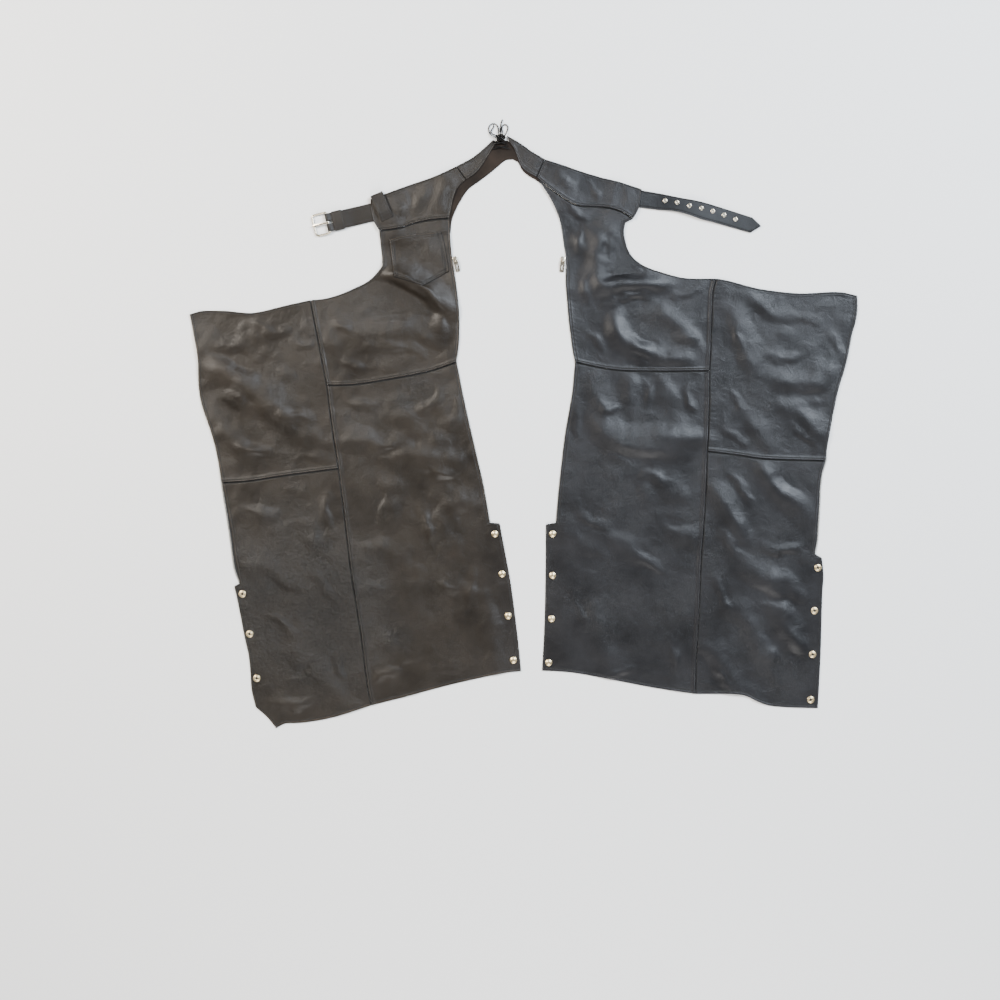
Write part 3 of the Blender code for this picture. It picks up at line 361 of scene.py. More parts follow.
Crease = namedtuple("Crease", "start middle end height upper lower")
CREASE_ROWS = [
    # left thigh
    ((-318, 318), (-256, 290), (-180, 250), -2.0, 7, 13),
    ((-304, 332), (-216, 303), (-144, 246), 1.5, 6, 7),
    ((-180, 260), (-166, 226), (-160, 196), 1.2, 8, 12),
    ((-362, 236), (-296, 246), (-232, 232), -1.2, 12, 9),
    ((-330, 182), (-262, 172), (-196, 158), 1.5, 12, 8),
    ((-392, 232), (-372, 216), (-340, 222), 1.2, 7, 9),
    ((-176, 428), (-190, 402), (-184, 372), 0.8, 7, 9),
    ((-232, 206), (-206, 180), (-160, 172), -1.0, 8, 10),
    ((-396, 152), (-350, 138), (-304, 142), 1.0, 9, 8),
    # left shin
    ((-372, 70), (-330, 58), (-288, 66), 1.2, 9, 11),
    ((-350, -22), (-292, -44), (-238, -42), -1.5, 9, 12),
    ((-236, -78), (-176, -84), (-128, -88), 1.8, 10, 7),
    ((-176, 104), (-190, 60), (-222, 40), 1.2, 10, 8),
    ((-140, 96), (-134, 44), (-150, 4), 1.0, 8, 9),
    ((-320, -90), (-300, -142), (-318, -196), -1.3, 10, 12),
    ((-218, -128), (-196, -186), (-210, -250), 1.4, 10, 9),
    ((-130, -152), (-116, -206), (-126, -262), -1.0, 9, 10),
    ((-346, -330), (-300, -322), (-266, -346), 1.1, 9, 12),
    ((-180, -300), (-150, -330), (-112, -326), 1.2, 10, 8),
    ((-210, -402), (-176, -436), (-150, -488), -1.0, 10, 11),
    ((-318, -520), (-280, -506), (-240, -520), 1.2, 9, 10),
    ((-96, -280), (-104, -340), (-90, -402), 1.0, 9, 10),
    # left back thigh
    ((-666, 186), (-600, 142), (-540, 98), -1.8, 14, 10),
    ((-640, 96), (-596, 62), (-552, 20), 2.0, 9, 14),
    ((-520, 62), (-470, 34), (-424, 22), 1.6, 9, 12),
    ((-588, 226), (-520, 210), (-470, 224), 1.3, 11, 9),
    ((-500, 150), (-462, 120), (-430, 116), -1.2, 9, 11),
    ((-482, 198), (-452, 180), (-430, 184), 1.3, 7, 8),
    ((-618, -30), (-560, -46), (-508, -40), 1.3, 10, 9),
    ((-480, -50), (-440, -62), (-402, -52), 1.0, 8, 8),
    # left back calf
    ((-600, -160), (-548, -176), (-494, -160), 1.4, 10, 12),
    ((-570, -282), (-500, -330), (-440, -350), -1.7, 12, 10),
    ((-452, -290), (-412, -330), (-376, -392), 1.5, 9, 12),
    ((-556, -378), (-508, -396), (-470, -440), 1.6, 9, 10),
    ((-520, -478), (-470, -500), (-420, -490), -1.2, 11, 10),
    ((-540, -560), (-484, -572), (-430, -556), 1.5, 9, 10),
    ((-402, -440), (-380, -494), (-358, -540), 1.2, 8, 10),
    ((-400, -120), (-410, -176), (-398, -232), 1.2, 8, 10),
    # left and right yokes
    ((-286, 482), (-262, 462), (-250, 438), 0.9, 8, 9),
    ((-240, 506), (-236, 484), (-242, 462), -0.8, 7, 8),
    ((70, 540), (92, 520), (100, 496), 1.0, 8, 9),
    ((140, 532), (150, 506), (146, 480), 0.9, 8, 9),
    ((198, 516), (200, 490), (206, 470), -0.8, 7, 8),
    # right thigh
    ((196, 420), (176, 386), (170, 350), -1.6, 8, 10),
    ((132, 352), (128, 306), (140, 266), 1.6, 8, 10),
    ((150, 322), (196, 330), (252, 318), -1.6, 9, 9),
    ((160, 262), (214, 280), (280, 276), 1.8, 9, 9),
    ((112, 430), (126, 404), (120, 372), 1.2, 7, 9),
    ((84, 480), (112, 456), (150, 446), 1.0, 8, 8),
    ((298, 300), (340, 290), (384, 300), 1.4, 9, 9),
    ((244, 216), (262, 186), (300, 176), -1.3, 8, 10),
    ((322, 216), (350, 196), (380, 190), 1.3, 8, 9),
    ((136, 222), (166, 196), (170, 160), 1.2, 9, 9),
    ((214, 150), (240, 140), (262, 146), 0.9, 7, 7),
    # right shin
    ((152, -6), (214, -58), (300, -52), -1.9, 12, 10),
    ((150, 74), (184, 50), (214, 52), 1.3, 8, 9),
    ((262, 106), (268, 74), (256, 44), 1.2, 8, 9),
    ((340, 100), (352, 62), (374, 40), 1.4, 8, 8),
    ((120, 60), (118, 12), (132, -30), 1.0, 8, 9),
    ((226, -118), (262, -96), (318, -102), 1.4, 10, 9),
    ((118, -156), (150, -188), (196, -196), 1.3, 10, 9),
    ((300, -170), (330, -190), (366, -196), -1.2, 8, 9),
    ((216, -250), (262, -282), (318, -288), 1.4, 10, 10),
    ((102, -330), (124, -392), (118, -450), 1.1, 9, 10),
    ((232, -360), (250, -420), (236, -480), -1.2, 11, 11),
    ((300, -420), (322, -470), (316, -520), 1.3, 10, 9),
    ((150, -500), (200, -510), (252, -504), 1.1, 9, 8),
    # right back thigh
    ((446, 250), (456, 190), (474, 130), 1.1, 10, 10),
    ((478, 282), (524, 232), (580, 206), -1.1, 10, 11),
    ((560, 240), (602, 230), (650, 246), 1.0, 9, 9),
    ((500, 168), (548, 150), (600, 160), 1.2, 9, 10),
    ((560, 72), (606, 70), (650, 96), -1.1, 10, 9),
    ((416, 86), (452, 70), (480, 40), 1.1, 9, 9),
    ((420, 8), (452, -14), (490, -16), 0.9, 8, 9),
    ((560, 14), (596, -14), (626, -40), 1.0, 9, 9),
    ((640, 226), (664, 196), (676, 160), 0.8, 8, 9),
    # right back calf
    ((420, -86), (462, -112), (500, -162), 1.8, 10, 11),
    ((520, -92), (556, -112), (604, -130), -1.4, 9, 10),
    ((404, -190), (430, -236), (470, -272), 1.6, 9, 10),
    ((486, -232), (536, -252), (590, -250), 1.5, 10, 10),
    ((470, -330), (524, -346), (588, -382), -1.6, 10, 11),
    ((400, -300), (424, -350), (430, -402), 1.3, 9, 10),
    ((486, -424), (520, -470), (540, -530), 1.5, 9, 10),
    ((556, -440), (584, -500), (590, -552), -1.2, 9, 9),
    ((392, -500), (420, -520), (440, -546), 1.3, 8, 9),
]
CREASES = [Crease(*row) for row in CREASE_ROWS]
CREASED_LEFT, CREASED_RIGHT = 2.1, 1.6
WANDER = (6, 3.2, 1.4)
RUMPLED = 0.35
BETWEEN_LEGS = 60.0
SNAP_FLAT = (12.0, 24.0)
ABOVE_FLOOR = 0.05
LOWEST = HIDE + ABOVE_FLOOR


def easing(distance, whole, gone):
    """1 up to a distance, and down to 0 at a further one, as half a cosine wave."""
    return 0.5 + 0.5 * np.cos(np.pi * np.clip((distance - whole) / (gone - whole), 0, 1))


def crease_height(crease, x, y):
    """A half-wave across a smooth line, wider on one side, fading in over a quarter and out over the last."""
    spine = smooth(np.array(crease[:3], float) - MIDDLE, 5)
    nearest = np.full(x.shape, 1e9)
    along, side = np.zeros(x.shape), np.zeros(x.shape)
    steps = len(spine) - 1
    for i, ((ax, ay), (dx, dy)) in enumerate(zip(spine[:-1], np.diff(spine, axis=0))):
        t = np.clip(((x - ax) * dx + (y - ay) * dy) / (dx * dx + dy * dy), 0, 1)
        off_x, off_y = x - ax - t * dx, y - ay - t * dy
        off = np.hypot(off_x, off_y)
        closer = off < nearest
        nearest = np.where(closer, off, nearest)
        along = np.where(closer, (i + t) / steps, along)
        side = np.where(closer, dx * off_y - dy * off_x, side)
    width = np.where(side >= 0, crease.upper, crease.lower)
    fade = np.clip(4 * np.minimum(along, 1 - along), 0, 1)
    profile = easing(nearest, 0, 2.2 * width) ** 1.6
    depth = crease.height * (CREASED_LEFT if crease.start[0] < 0 else CREASED_RIGHT)
    return depth * fade * (1 - 0.3 * np.sin(9 * along)) * profile


Wave = namedtuple("Wave", "length angle start height")
WAVES = [
    Wave(118, 20, 0.4, 0.30), Wave(83, 74, 2.1, 0.27), Wave(61, 131, 4.0, 0.22), Wave(47, 48, 1.1, 0.18),
    Wave(36, 102, 5.2, 0.13), Wave(29, 160, 3.3, 0.11),
]
SNAPS = [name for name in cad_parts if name.startswith("snap_")]
snap_places = [(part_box(name)[0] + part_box(name)[1]) / 2 / MM for name in SNAPS]


def hide_height(x, y):
    """The top of the hide: the map, the creases and six slow waves that cross, all flat round the snaps.

    The creases are read at places that wander a few millimetres to and fro, so none of them runs clean. The
    waves stand higher on the left leg, which is rumpled more.
    """
    small = np.zeros(x.shape)
    slow, quick, fine = WANDER
    bent_x = x + slow * np.sin(y / 29 + 0.7) + quick * np.sin((x + y) / 13) + fine * np.sin((2 * x - y) / 9)
    bent_y = y + slow * np.sin(x / 26 + 1.9) + quick * np.sin((x - y) / 15) + fine * np.sin((x + 2 * y) / 8)
    for crease in CREASES:
        reach = 2.5 * max(crease.upper, crease.lower)
        spine = np.array(crease[:3], float) - MIDDLE
        (low_x, low_y), (high_x, high_y) = spine.min(0) - reach, spine.max(0) + reach
        near = (bent_x > low_x) & (bent_x < high_x) & (bent_y > low_y) & (bent_y < high_y)
        if near.any():
            small[near] += crease_height(crease, bent_x[near], bent_y[near])
    for wave in WAVES:
        angle = np.radians(wave.angle)
        across = x * np.cos(angle) + y * np.sin(angle)
        along = y * np.cos(angle) - x * np.sin(angle)
        bent = across + 0.18 * wave.length * np.sin(along * 2.1 / wave.length)
        rumpled = 1 + RUMPLED * (1 - np.tanh(x / BETWEEN_LEGS))
        small += rumpled * wave.height * np.sin(2 * np.pi * bent / wave.length + wave.start)
    for px, py, _ in snap_places:
        small *= 1 - easing(np.hypot(x - px, y - py), *SNAP_FLAT)
    return np.maximum(hide_top(x, y) + small, LOWEST)


# --- the panels ---
# Each panel is cut from the hide and sewn to the next with a lapped seam: the upper layer's edge is turned
# in and held down by a row of stitches, and the lower layer dips under it. A leg seam is felled, a raised
# strip between two tight lines. The outline is the model's own, drawn smooth.
STEP = 3.2
NEAR_EDGE = np.array([0, 0.25, 0.6, 1.3, 2.0, 2.7, 3.4, 4.1, 4.8, 5.6, 6.4, 7.6])
ROUND = 0.6
SHARP_CORNER = np.radians(30)
GROOVE = 0.6
GROOVE_WIDE = 0.85
DIP_DEPTH = 1.1
PUCKER = 9.7
PUCKER_REACH = 15.0
DYED_AND_SHADED_EDGE = (0.5, 1.5)

# A side with a dip is painted dark in it as well as lowered: the shadow of the gap under its neighbour's
# edge.
Side = namedtuple("Side", "rows lap pucker dip")
LAPPED = Side((3.5,), 1.1, 0.24, 0)
UNDER = Side((), 0.0, 0.26, 3.2)
FELLED = Side((4.3,), 1.0, 0.26, 1.0)
BESIDE = Side((), 0.0, 0.42, 1.9)
ZIPPED = Side((4.6,), 0.35, 0.2, 0)
BOUND = Side((3.4,), 0.3, 0.1, 0)
HEM = Side((5.4,), 0.3, 0.22, 0)
CUT = Side((), 0.0, 0.0, 0)
Panel = namedtuple("Panel", "name corners top right bottom left")
PANEL_ROWS = [
    ("left_thigh", [(-301, 421), (-153, 447), (-139, 145), (-411, 97)], UNDER, ZIPPED, LAPPED, FELLED),
    ("left_shin", [(-411, 97), (-139, 145), (-3, -504), (-317, -576)], UNDER, ZIPPED, HEM, FELLED),
    ("left_back_thigh", [(-698, 245), (-445, 275), (-386, -78), (-630, -108)], BOUND, BESIDE, LAPPED, ZIPPED),
    ("left_back_calf", [(-630, -108), (-386, -78), (-317, -576), (-517, -624)], UNDER, BESIDE, HEM, ZIPPED),
    ("left_yoke", [(-319, 486), (-140, 555), (-153, 447), (-301, 421)], BOUND, BOUND, LAPPED, BOUND),
    ("left_back_yoke", [(-140, 555), (-62, 611), (-54, 606), (-119, 527)], BOUND, CUT, BOUND, BESIDE),
    ("right_thigh", [(30, 532), (232, 445), (393, 127), (111, 145)], UNDER, FELLED, LAPPED, ZIPPED),
    ("right_shin", [(111, 145), (393, 127), (363, -552), (41, -503)], UNDER, FELLED, HEM, ZIPPED),
    ("right_back_thigh", [(407, 320), (702, 284), (636, -62), (388, -42)], BOUND, ZIPPED, LAPPED, BESIDE),
    ("right_back_calf", [(388, -42), (636, -62), (620, -582), (363, -552)], UNDER, ZIPPED, HEM, BESIDE),
    ("right_yoke", [(47, 570), (250, 507), (232, 445), (30, 532)], BOUND, BOUND, LAPPED, BOUND),
    ("right_back_yoke", [(-33, 620), (47, 570), (30, 532), (-29, 608)], BOUND, BESIDE, BOUND, CUT),
]
PANELS = [Panel(*row) for row in PANEL_ROWS]


def outline(name):
    """The loop round a node's top, anticlockwise: each side that only one upward triangle has, end to end."""
    points, upper = facets(name)
    sides = np.vstack([upper[:, [0, 1]], upper[:, [1, 2]], upper[:, [2, 0]]])
    border = sides[~np.isin(sides @ (len(points), 1), sides @ (1, len(points)))]
    after = dict(border.tolist())
    longest = []
    while after:
        loop = [next(iter(after))]
        while loop[-1] in after:
            loop.append(after.pop(loop[-1]))
        longest = max(longest, loop[:-1], key=len)
    return points[longest, :2]


def four_sides(loop, corners):
    """An outline split at its points nearest to four corners, into top, right, bottom and left."""
    nearest = [int(np.argmin(np.hypot(*(loop - corner).T))) for corner in np.array(corners) - MIDDLE]
    waist_left, waist_right, foot_right, foot_left = nearest

    def run(first, last):
        return np.roll(loop, -first, axis=0)[: (last - first) % len(loop) + 1]

    top = run(waist_right, waist_left)[::-1]
    right = run(foot_right, waist_right)[::-1]
    return top, right, run(foot_left, foot_right), run(waist_left, foot_left)


def flowing(points):
    """A curve through the points of a side, smooth between those where it turns sharply."""
    heading = np.arctan2(*np.diff(points, axis=0).T[::-1])
    turn = np.abs((np.diff(heading) + np.pi) % (2 * np.pi) - np.pi)
    breaks = [0, *(np.nonzero(turn > SHARP_CORNER)[0] + 1), len(points) - 1]
    runs = [smooth(points[a : b + 1]) for a, b in zip(breaks[:-1], breaks[1:])]
    return np.vstack([runs[0]] + [run[1:] for run in runs[1:]])


def places_along(a, b, step):
    """Places from 0 to 1 along two facing sides: close together by both ends, then a step apart."""
    size = 0.5 * (lengths(a)[-1] + lengths(b)[-1])
    near = NEAR_EDGE[NEAR_EDGE < 0.4 * size]
    inner = np.linspace(near[-1], size - near[-1], max(2, round((size - 2 * near[-1]) / step)))
    return np.concatenate([near[:-1], inner, size - near[-2::-1]]) / size


def patch(sides, step=STEP):
    """Rows of points between four sides (a Coons patch): the blend of top and bottom, plus the blend of left
    and right, less the blend of the four corners."""

    def pair(first, second):
        """Two facing sides read at matching places, and how far along them these are, from 0 to 1."""
        at = places_along(first, second, step)
        read = []
        for side in (first, second):
            own = np.linspace(0, 1, len(side))
            read.append(np.stack([np.interp(at, own, axis) for axis in side.T], 1))
        return *read, 0.5 * sum(lengths(side) / lengths(side)[-1] for side in read)

    top, right, bottom, left = map(flowing, sides)
    top, bottom, u = pair(top, bottom)
    left, right, v = pair(left, right)
    u, v = u[None, :, None], v[:, None, None]
    across = left[:, None] * (1 - u) + right[:, None] * u
    down = top[None] * (1 - v) + bottom[None] * v
    corners = (top[0] * (1 - u) + top[-1] * u) * (1 - v) + (bottom[0] * (1 - u) + bottom[-1] * u) * v
    return across + down - corners


def run_lengths(grid, axis):
    """The length along each row or column of a grid, from its first point."""
    steps = np.linalg.norm(np.diff(grid, axis=axis), axis=-1)
    pad = [(0, 0), (0, 0)]
    pad[axis] = (1, 0)
    return np.pad(np.cumsum(steps, axis=axis), pad)


def sewn(grid, sides):
    """What the sewing does near each side: to the height, to the shade, and the distance to the nearest side.

    A lap lifts a strip along the side, and each row of stitches presses a groove into it. A side that lies
    under a neighbour dips. Puckers are ripples square to the sewn side, 8 to 12 mm apart and uneven, which
    die out away from it. The shade is painted light and dye: 1 where a groove or a dip is painted dark as the
    shade in it, and along the edge, which is dyed dark and painted with the shadow of the gap beside it;
    below
    0 where the strip between is painted lighter, a highlight on the raised strip as well as rubbing.
    """
    across, down = run_lengths(grid, 1), run_lengths(grid, 0)
    gaps = (down, across[:, -1:] - across, down[-1:] - down, across)
    lift, shade = np.zeros(across.shape), np.zeros(across.shape)
    for side, away, along in zip(sides, gaps, (across, down, across, down)):
        for row in side.rows:
            # Each groove is painted dark, the shade that lies in it.
            groove = np.exp(-(((away - row) / GROOVE_WIDE) ** 2))
            lift += side.lap * easing(away, row + 1, row + 5) - GROOVE * groove
            shade += 0.85 * groove
        if side.rows:
            # The edge is dyed dark and painted darker as the shadow of the gap beside it; the strip inside is
            # painted lighter, a highlight on it as well as rubbing.
            edge = easing(away, *DYED_AND_SHADED_EDGE)
            shade += 0.8 * edge - 0.6 * easing(away, side.rows[0] - 1.4, side.rows[0] - 0.4) * (1 - edge)
        if side.dip:
            # The hollow of a dip is painted dark as its shade.
            hollow = easing(away, 0.6 * side.dip, 1.35 * side.dip)
            lift -= DIP_DEPTH * hollow
            shade += hollow
        ripple = np.sin(2 * np.pi * along / PUCKER + 1.9 * np.sin(along / 17) + away / 13)
        strength = 0.55 + 0.45 * np.sin(along / 33 + 1.2) * np.sin(along / 71)
        lift += side.pucker * strength * ripple * np.exp(-((away / PUCKER_REACH) ** 1.5))
    return lift, np.clip(shade, -0.6, 1), np.minimum.reduce(gaps)


def shell(name, grid, height, nearest, thick, skin, shade=0):
    """A sheet with rounded edges: its top, the same grid again a thickness lower, and a wall round both."""
    rounding = ROUND * (1 - np.sqrt(1 - (1 - np.minimum(nearest / ROUND, 1)) ** 2))
    top = np.dstack([grid, height - rounding])
    under = np.dstack([grid, height - thick + 0.6 * rounding])
    rows, columns = height.shape
    number = np.arange(rows * columns).reshape(rows, columns)
    quads = np.stack([number[:-1, :-1], number[1:, :-1], number[1:, 1:], number[:-1, 1:]], -1).reshape(-1, 4)
    ring = np.concatenate([number[0, :-1], number[:-1, -1], number[-1, :0:-1], number[:0:-1, 0]])
    ahead, below = np.roll(ring, -1), rows * columns
    wall = np.stack([ring, ahead, ahead + below, ring + below], 1)
    faces = np.vstack([quads, quads[:, ::-1] + below, wall]).tolist()
    made = mesh_piece(name, np.vstack([top.reshape(-1, 3), under.reshape(-1, 3)]), faces, skin, 50)
    shaded = made.data.attributes.new("seam", "FLOAT", "POINT")
    shaded.data.foreach_set("value", np.tile((shade + 0 * nearest).ravel(), 2))
    return made


def line_beside(points, side, inset):
    """The line on a grid of points that runs beside one of its sides, an inset from it and from both ends."""
    grid = points[::-1] if side == "bottom" else points[:, ::-1] if side == "right" else points
    if side in ("top", "bottom"):
        grid = grid.swapaxes(0, 1)
    along = run_lengths(grid, 1)
    rows = np.arange(len(grid))
    at = np.clip((along < inset).sum(1) - 1, 0, grid.shape[1] - 2)
    t = (inset - along[rows, at]) / (along[rows, at + 1] - along[rows, at])
    line = grid[rows, at] * (1 - t[:, None]) + grid[rows, at + 1] * t[:, None]
    total = lengths(line)[-1]
    return read_along(line, np.linspace(inset, total - inset, max(2, round(total / 2))))


# The finish of the hide: a fine pebbled grain under a low sheen, warmer on the left leg and cooler on the
# right, a painted tint of the warm lamp and the cool window. Grooves, dips and edges are painted dark as
# shade, the edges dyed dark as well, and the strips between are painted lighter as a highlight as well as
# rubbed pale. The grain and the tone are groups, since every leather here uses them.
# Round the belly, low on the left leg, the grain is loose and the colour deeper.
# MIX_A, MIX_B and MIX_RESULT are the colour sockets of a Mix node, which has others by the same names.
BELLY = (-0.46, -0.38, 0)
GRAIN_BENDS = 0.005
GRAIN_VALLEY = 0.34
PORE_DEPTH = 0.16
MIX_A, MIX_B, MIX_RESULT = 6, 7, 2


def group(name, sockets):
    """An empty shader group with named inputs and outputs: (name, IN or OUT, kind, value)."""
    tree = bpy.data.node_groups.new(name, "ShaderNodeTree")
    for label, way, kind, value in sockets:
        made = tree.interface.new_socket(label, in_out=f"{way}PUT", socket_type=f"NodeSocket{kind}")
        if value is not None:
            made.default_value = value
    return tree, tree.nodes.new("NodeGroupInput"), tree.nodes.new("NodeGroupOutput")


def arithmetic(tree, operation, *values):
    """The sum or the product of two or more values or sockets."""
    result = values[0]
    for value in values[1:]:
        result = node(tree, "ShaderNodeMath", {0: result, 1: value}, operation=operation).outputs[0]
    return result


def ranged(tree, value, start, end, low=0.0, high=1.0, kind="LINEAR"):
    """A value carried from the range start to end to the range low to high, and held beyond either end."""
    numbers = {"Value": value, "From Min": start, "From Max": end, "To Min": low, "To Max": high}
    return node(tree, "ShaderNodeMapRange", numbers, interpolation_type=kind).outputs[0]


def vectors(tree, operation, first, second):
    """Two vectors added or multiplied, each a socket or three numbers."""
    return node(tree, "ShaderNodeVectorMath", {0: first, 1: second}, operation=operation).outputs["Vector"]


def from_belly(tree):
    """How far a point lies from the belly, in metres."""
    far = node(tree, "ShaderNodeVectorMath", {0: over_object(tree), 1: BELLY}, operation="DISTANCE")
    return far.outputs["Value"]


grain_tree, grain_in, grain_out = group("hide_grain", [
    ("Cell", "IN", "Float", 620.0), ("Pebble", "IN", "Float", 0.5), ("Wrinkle", "IN", "Float", 1.0),
    ("Height", "OUT", "Float", None),
])
place = over_object(grain_tree)
warp = node(grain_tree, "ShaderNodeTexNoise", {"Vector": place, "Scale": 90, "Detail": 2}).outputs["Color"]
moved = vectors(grain_tree, "ADD", place, vectors(grain_tree, "MULTIPLY", warp, (GRAIN_BENDS,) * 3))
wanted = {"Vector": moved, "Scale": grain_in.outputs["Cell"]}
cells = node(grain_tree, "ShaderNodeTexVoronoi", wanted, feature="DISTANCE_TO_EDGE").outputs["Distance"]
valley = ranged(grain_tree, cells, 0.0, GRAIN_VALLEY, kind="SMOOTHSTEP")
raised = ranged(grain_tree, noise(grain_tree, 7, 2), 0.4, 0.65, 0.25, 1.3)
belly = ranged(grain_tree, from_belly(grain_tree), 0.08, 0.24, 2.2, 0.0)
strong = arithmetic(grain_tree, "ADD", raised, belly)
pebble = arithmetic(grain_tree, "MULTIPLY", valley, grain_in.outputs["Pebble"], strong)
speck = arithmetic(grain_tree, "MULTIPLY", noise(grain_tree, 1500, 2), PORE_DEPTH)
loose = node(grain_tree, "ShaderNodeTexVoronoi", {"Vector": moved, "Scale": 150}, feature="SMOOTH_F1")
loose_skin = arithmetic(grain_tree, "MULTIPLY", loose.outputs["Distance"], belly)
folds = noise(grain_tree, 42, 4, Roughness=0.55, Distortion=0.9)
wide = arithmetic(grain_tree, "MULTIPLY", folds, grain_in.outputs["Wrinkle"])
relief = arithmetic(grain_tree, "ADD", pebble, speck, loose_skin, wide)
grain_tree.links.new(relief, grain_out.inputs["Height"])

tone_tree, tone_in, tone_out = group("hide_tone", [
    ("Warm", "IN", "Color", (0.06, 0.05, 0.045, 1)), ("Cool", "IN", "Color", (0.05, 0.052, 0.06, 1)),
    ("Color", "OUT", "Color", None), ("Rough", "OUT", "Float", None),
])
# Warm on the left leg to cool on the right: a painted tint of the warm lamp and the cool window.
sideways = node(tone_tree, "ShaderNodeSeparateXYZ", {0: over_object(tone_tree)}).outputs["X"]
leg = ranged(tone_tree, sideways, -0.16, 0.14, kind="SMOOTHSTEP")
wanted = {"Factor": leg, MIX_A: tone_in.outputs["Warm"], MIX_B: tone_in.outputs["Cool"]}
painted_side_tint = node(tone_tree, "ShaderNodeMix", wanted, data_type="RGBA").outputs[MIX_RESULT]
mottle = noise(tone_tree, 11, 6, Roughness=0.6)
cloudy = ranged(tone_tree, mottle, 0.3, 0.7, 0.62, 1.38)
# The seam attribute marks grooves, dips and edges, painted dark as shade (the edges dyed dark as well), and
# the strips between, painted lighter as a highlight and as rubbing.
seam = node(tone_tree, "ShaderNodeAttribute", attribute_name="seam").outputs["Fac"]
painted_seam_shade = ranged(tone_tree, seam, 0.0, 1.0, 1.0, 0.06)
uneven = ranged(tone_tree, noise(tone_tree, 70, 3), 0.38, 0.62, 0.5, 2.2)
rubbed_and_painted_highlight = arithmetic(tone_tree, "MULTIPLY", ranged(tone_tree, seam, 0.0, -1.0), uneven)
pale_rub_and_painted_highlight = arithmetic(tone_tree, "ADD", 1.0, rubbed_and_painted_highlight)
soaked = ranged(tone_tree, from_belly(tone_tree), 0.10, 0.30, 0.62, 1.0)
tone_and_painted_light = arithmetic(tone_tree, "MULTIPLY", cloudy, painted_seam_shade, pale_rub_and_painted_highlight, soaked)
coloured_with_painted_light = node(tone_tree, "ShaderNodeVectorMath", {0: painted_side_tint, "Scale": tone_and_painted_light}, operation="SCALE")
tone_tree.links.new(coloured_with_painted_light.outputs[0], tone_out.inputs["Color"])
sheen = ranged(tone_tree, mottle, 0.3, 0.7, 0.36, 0.50)
dull = ranged(tone_tree, seam, 0.0, 1.0, 0.0, 0.5)
tone_tree.links.new(arithmetic(tone_tree, "ADD", sheen, dull), tone_out.inputs["Rough"])


def leather(name, warm_with_painted_light, cool_with_painted_light, cell, pebble, wrinkle, depth, gloss):
    """Dyed leather: the tone group colours it, painted light included, and the grain group raises it, by a
    depth in millimetres.
    """
    made, tree, shader = finish(name, warm_with_painted_light, 0.45, Specular_IOR_Level=gloss)
    tone = node(tree, "ShaderNodeGroup", {"Warm": (*warm_with_painted_light, 1), "Cool": (*cool_with_painted_light, 1)}, node_tree=tone_tree)
    pattern = {"Cell": cell, "Pebble": pebble, "Wrinkle": wrinkle}
    grain = node(tree, "ShaderNodeGroup", pattern, node_tree=grain_tree)
    tree.links.new(tone.outputs["Color"], shader.inputs["Base Color"])
    tree.links.new(tone.outputs["Rough"], shader.inputs["Roughness"])
    raise_surface(tree, shader, grain.outputs["Height"], 1.0, depth)
    return made


# The hide's warm and cool colours hold a painted tint of the lamp on the left and the window on the right.
hide_skin = leather("hide", (0.0120, 0.0086, 0.0054), (0.0066, 0.0065, 0.0076), 780, 0.2, 1.8, 0.5, 0.34)

# Stitches: a waxed thread, 2.9 mm on the surface in every 4.2, each a short spindle that dips at its ends.
# A ring of the spindle is (place in the stitch's length, share of the thread's radius, rise in mm).
PITCH = 4.2
STITCH = 2.9
THREAD = 0.38
SPINDLE = np.array([(-0.5, 0.35, -0.32), (-0.26, 1.0, 0.12), (0.26, 1.0, 0.12), (0.5, 0.35, -0.32)])
thread = finish("thread", (0.013, 0.012, 0.011), 0.55)[0]
stitch_lines = []


def along_lines(lines, pitch, start, stop, shape):
    """A small closed shape laid along lines, a pitch apart: every copy is its points, turned and moved.

    The shape is rings of points, each point said as (ahead, across, up). The first copy stands start mm from
    a line's head, and the last one more than stop mm from its foot.
    """
    place, ahead = [], []
    for line in lines:
        at = np.arange(start, lengths(line)[-1] - stop, pitch)
        place.append(read_along(line, at))
        ahead.append(read_along(line, at + 0.5) - read_along(line, at - 0.5))
    rings, sides = shape.shape[:2]
    points = np.vstack(place)[:, None] + shape.reshape(-1, 3) @ frames_along(np.vstack(ahead))
    faces = ring_faces(rings, sides, False)
    first = rings * sides * np.arange(len(points))[:, None, None]
    copied = []
    for kind in (faces[:-2], faces[-2:]):
        copied += (first + np.array(kind)).reshape(-1, len(kind[0])).tolist()
    return points.reshape(-1, 3), copied


def stitches(name, lines):
    """Every stitch as a spindle of four rings of five points."""
    turn = np.linspace(0, 2 * np.pi, 5, endpoint=False)
    place, radius, rise = np.repeat(SPINDLE.T[..., None], len(turn), -1)
    radius *= THREAD
    spindle = np.stack([place * STITCH, radius * np.cos(turn), radius * np.sin(turn) + rise], -1)
    sewn_in = mesh_piece(name, *along_lines(lines, PITCH, PITCH / 2, 0, spindle), thread)
    dress(sewn_in, "zip_tape", "root")


for panel in PANELS:
    grid = patch(four_sides(outline(panel.name), panel.corners))
    lift, shade, nearest = sewn(grid, panel[2:])
    height = np.maximum(hide_height(grid[..., 0], grid[..., 1]) + lift, LOWEST)
    piece = shell(f"{panel.name}_hide", grid, height, nearest, HIDE, hide_skin, shade)
    dress(piece, "black_hide", "root", panel.name)
    points = np.dstack([grid, height])
    for label, side in zip(("top", "right", "bottom", "left"), panel[2:]):
        stitch_lines += [(panel.name, line_beside(points, label, row)) for row in side.rows]
for leg in ("left", "right"):
    stitches(f"{leg}_leg_stitches", [line for name, line in stitch_lines if name.startswith(leg)])

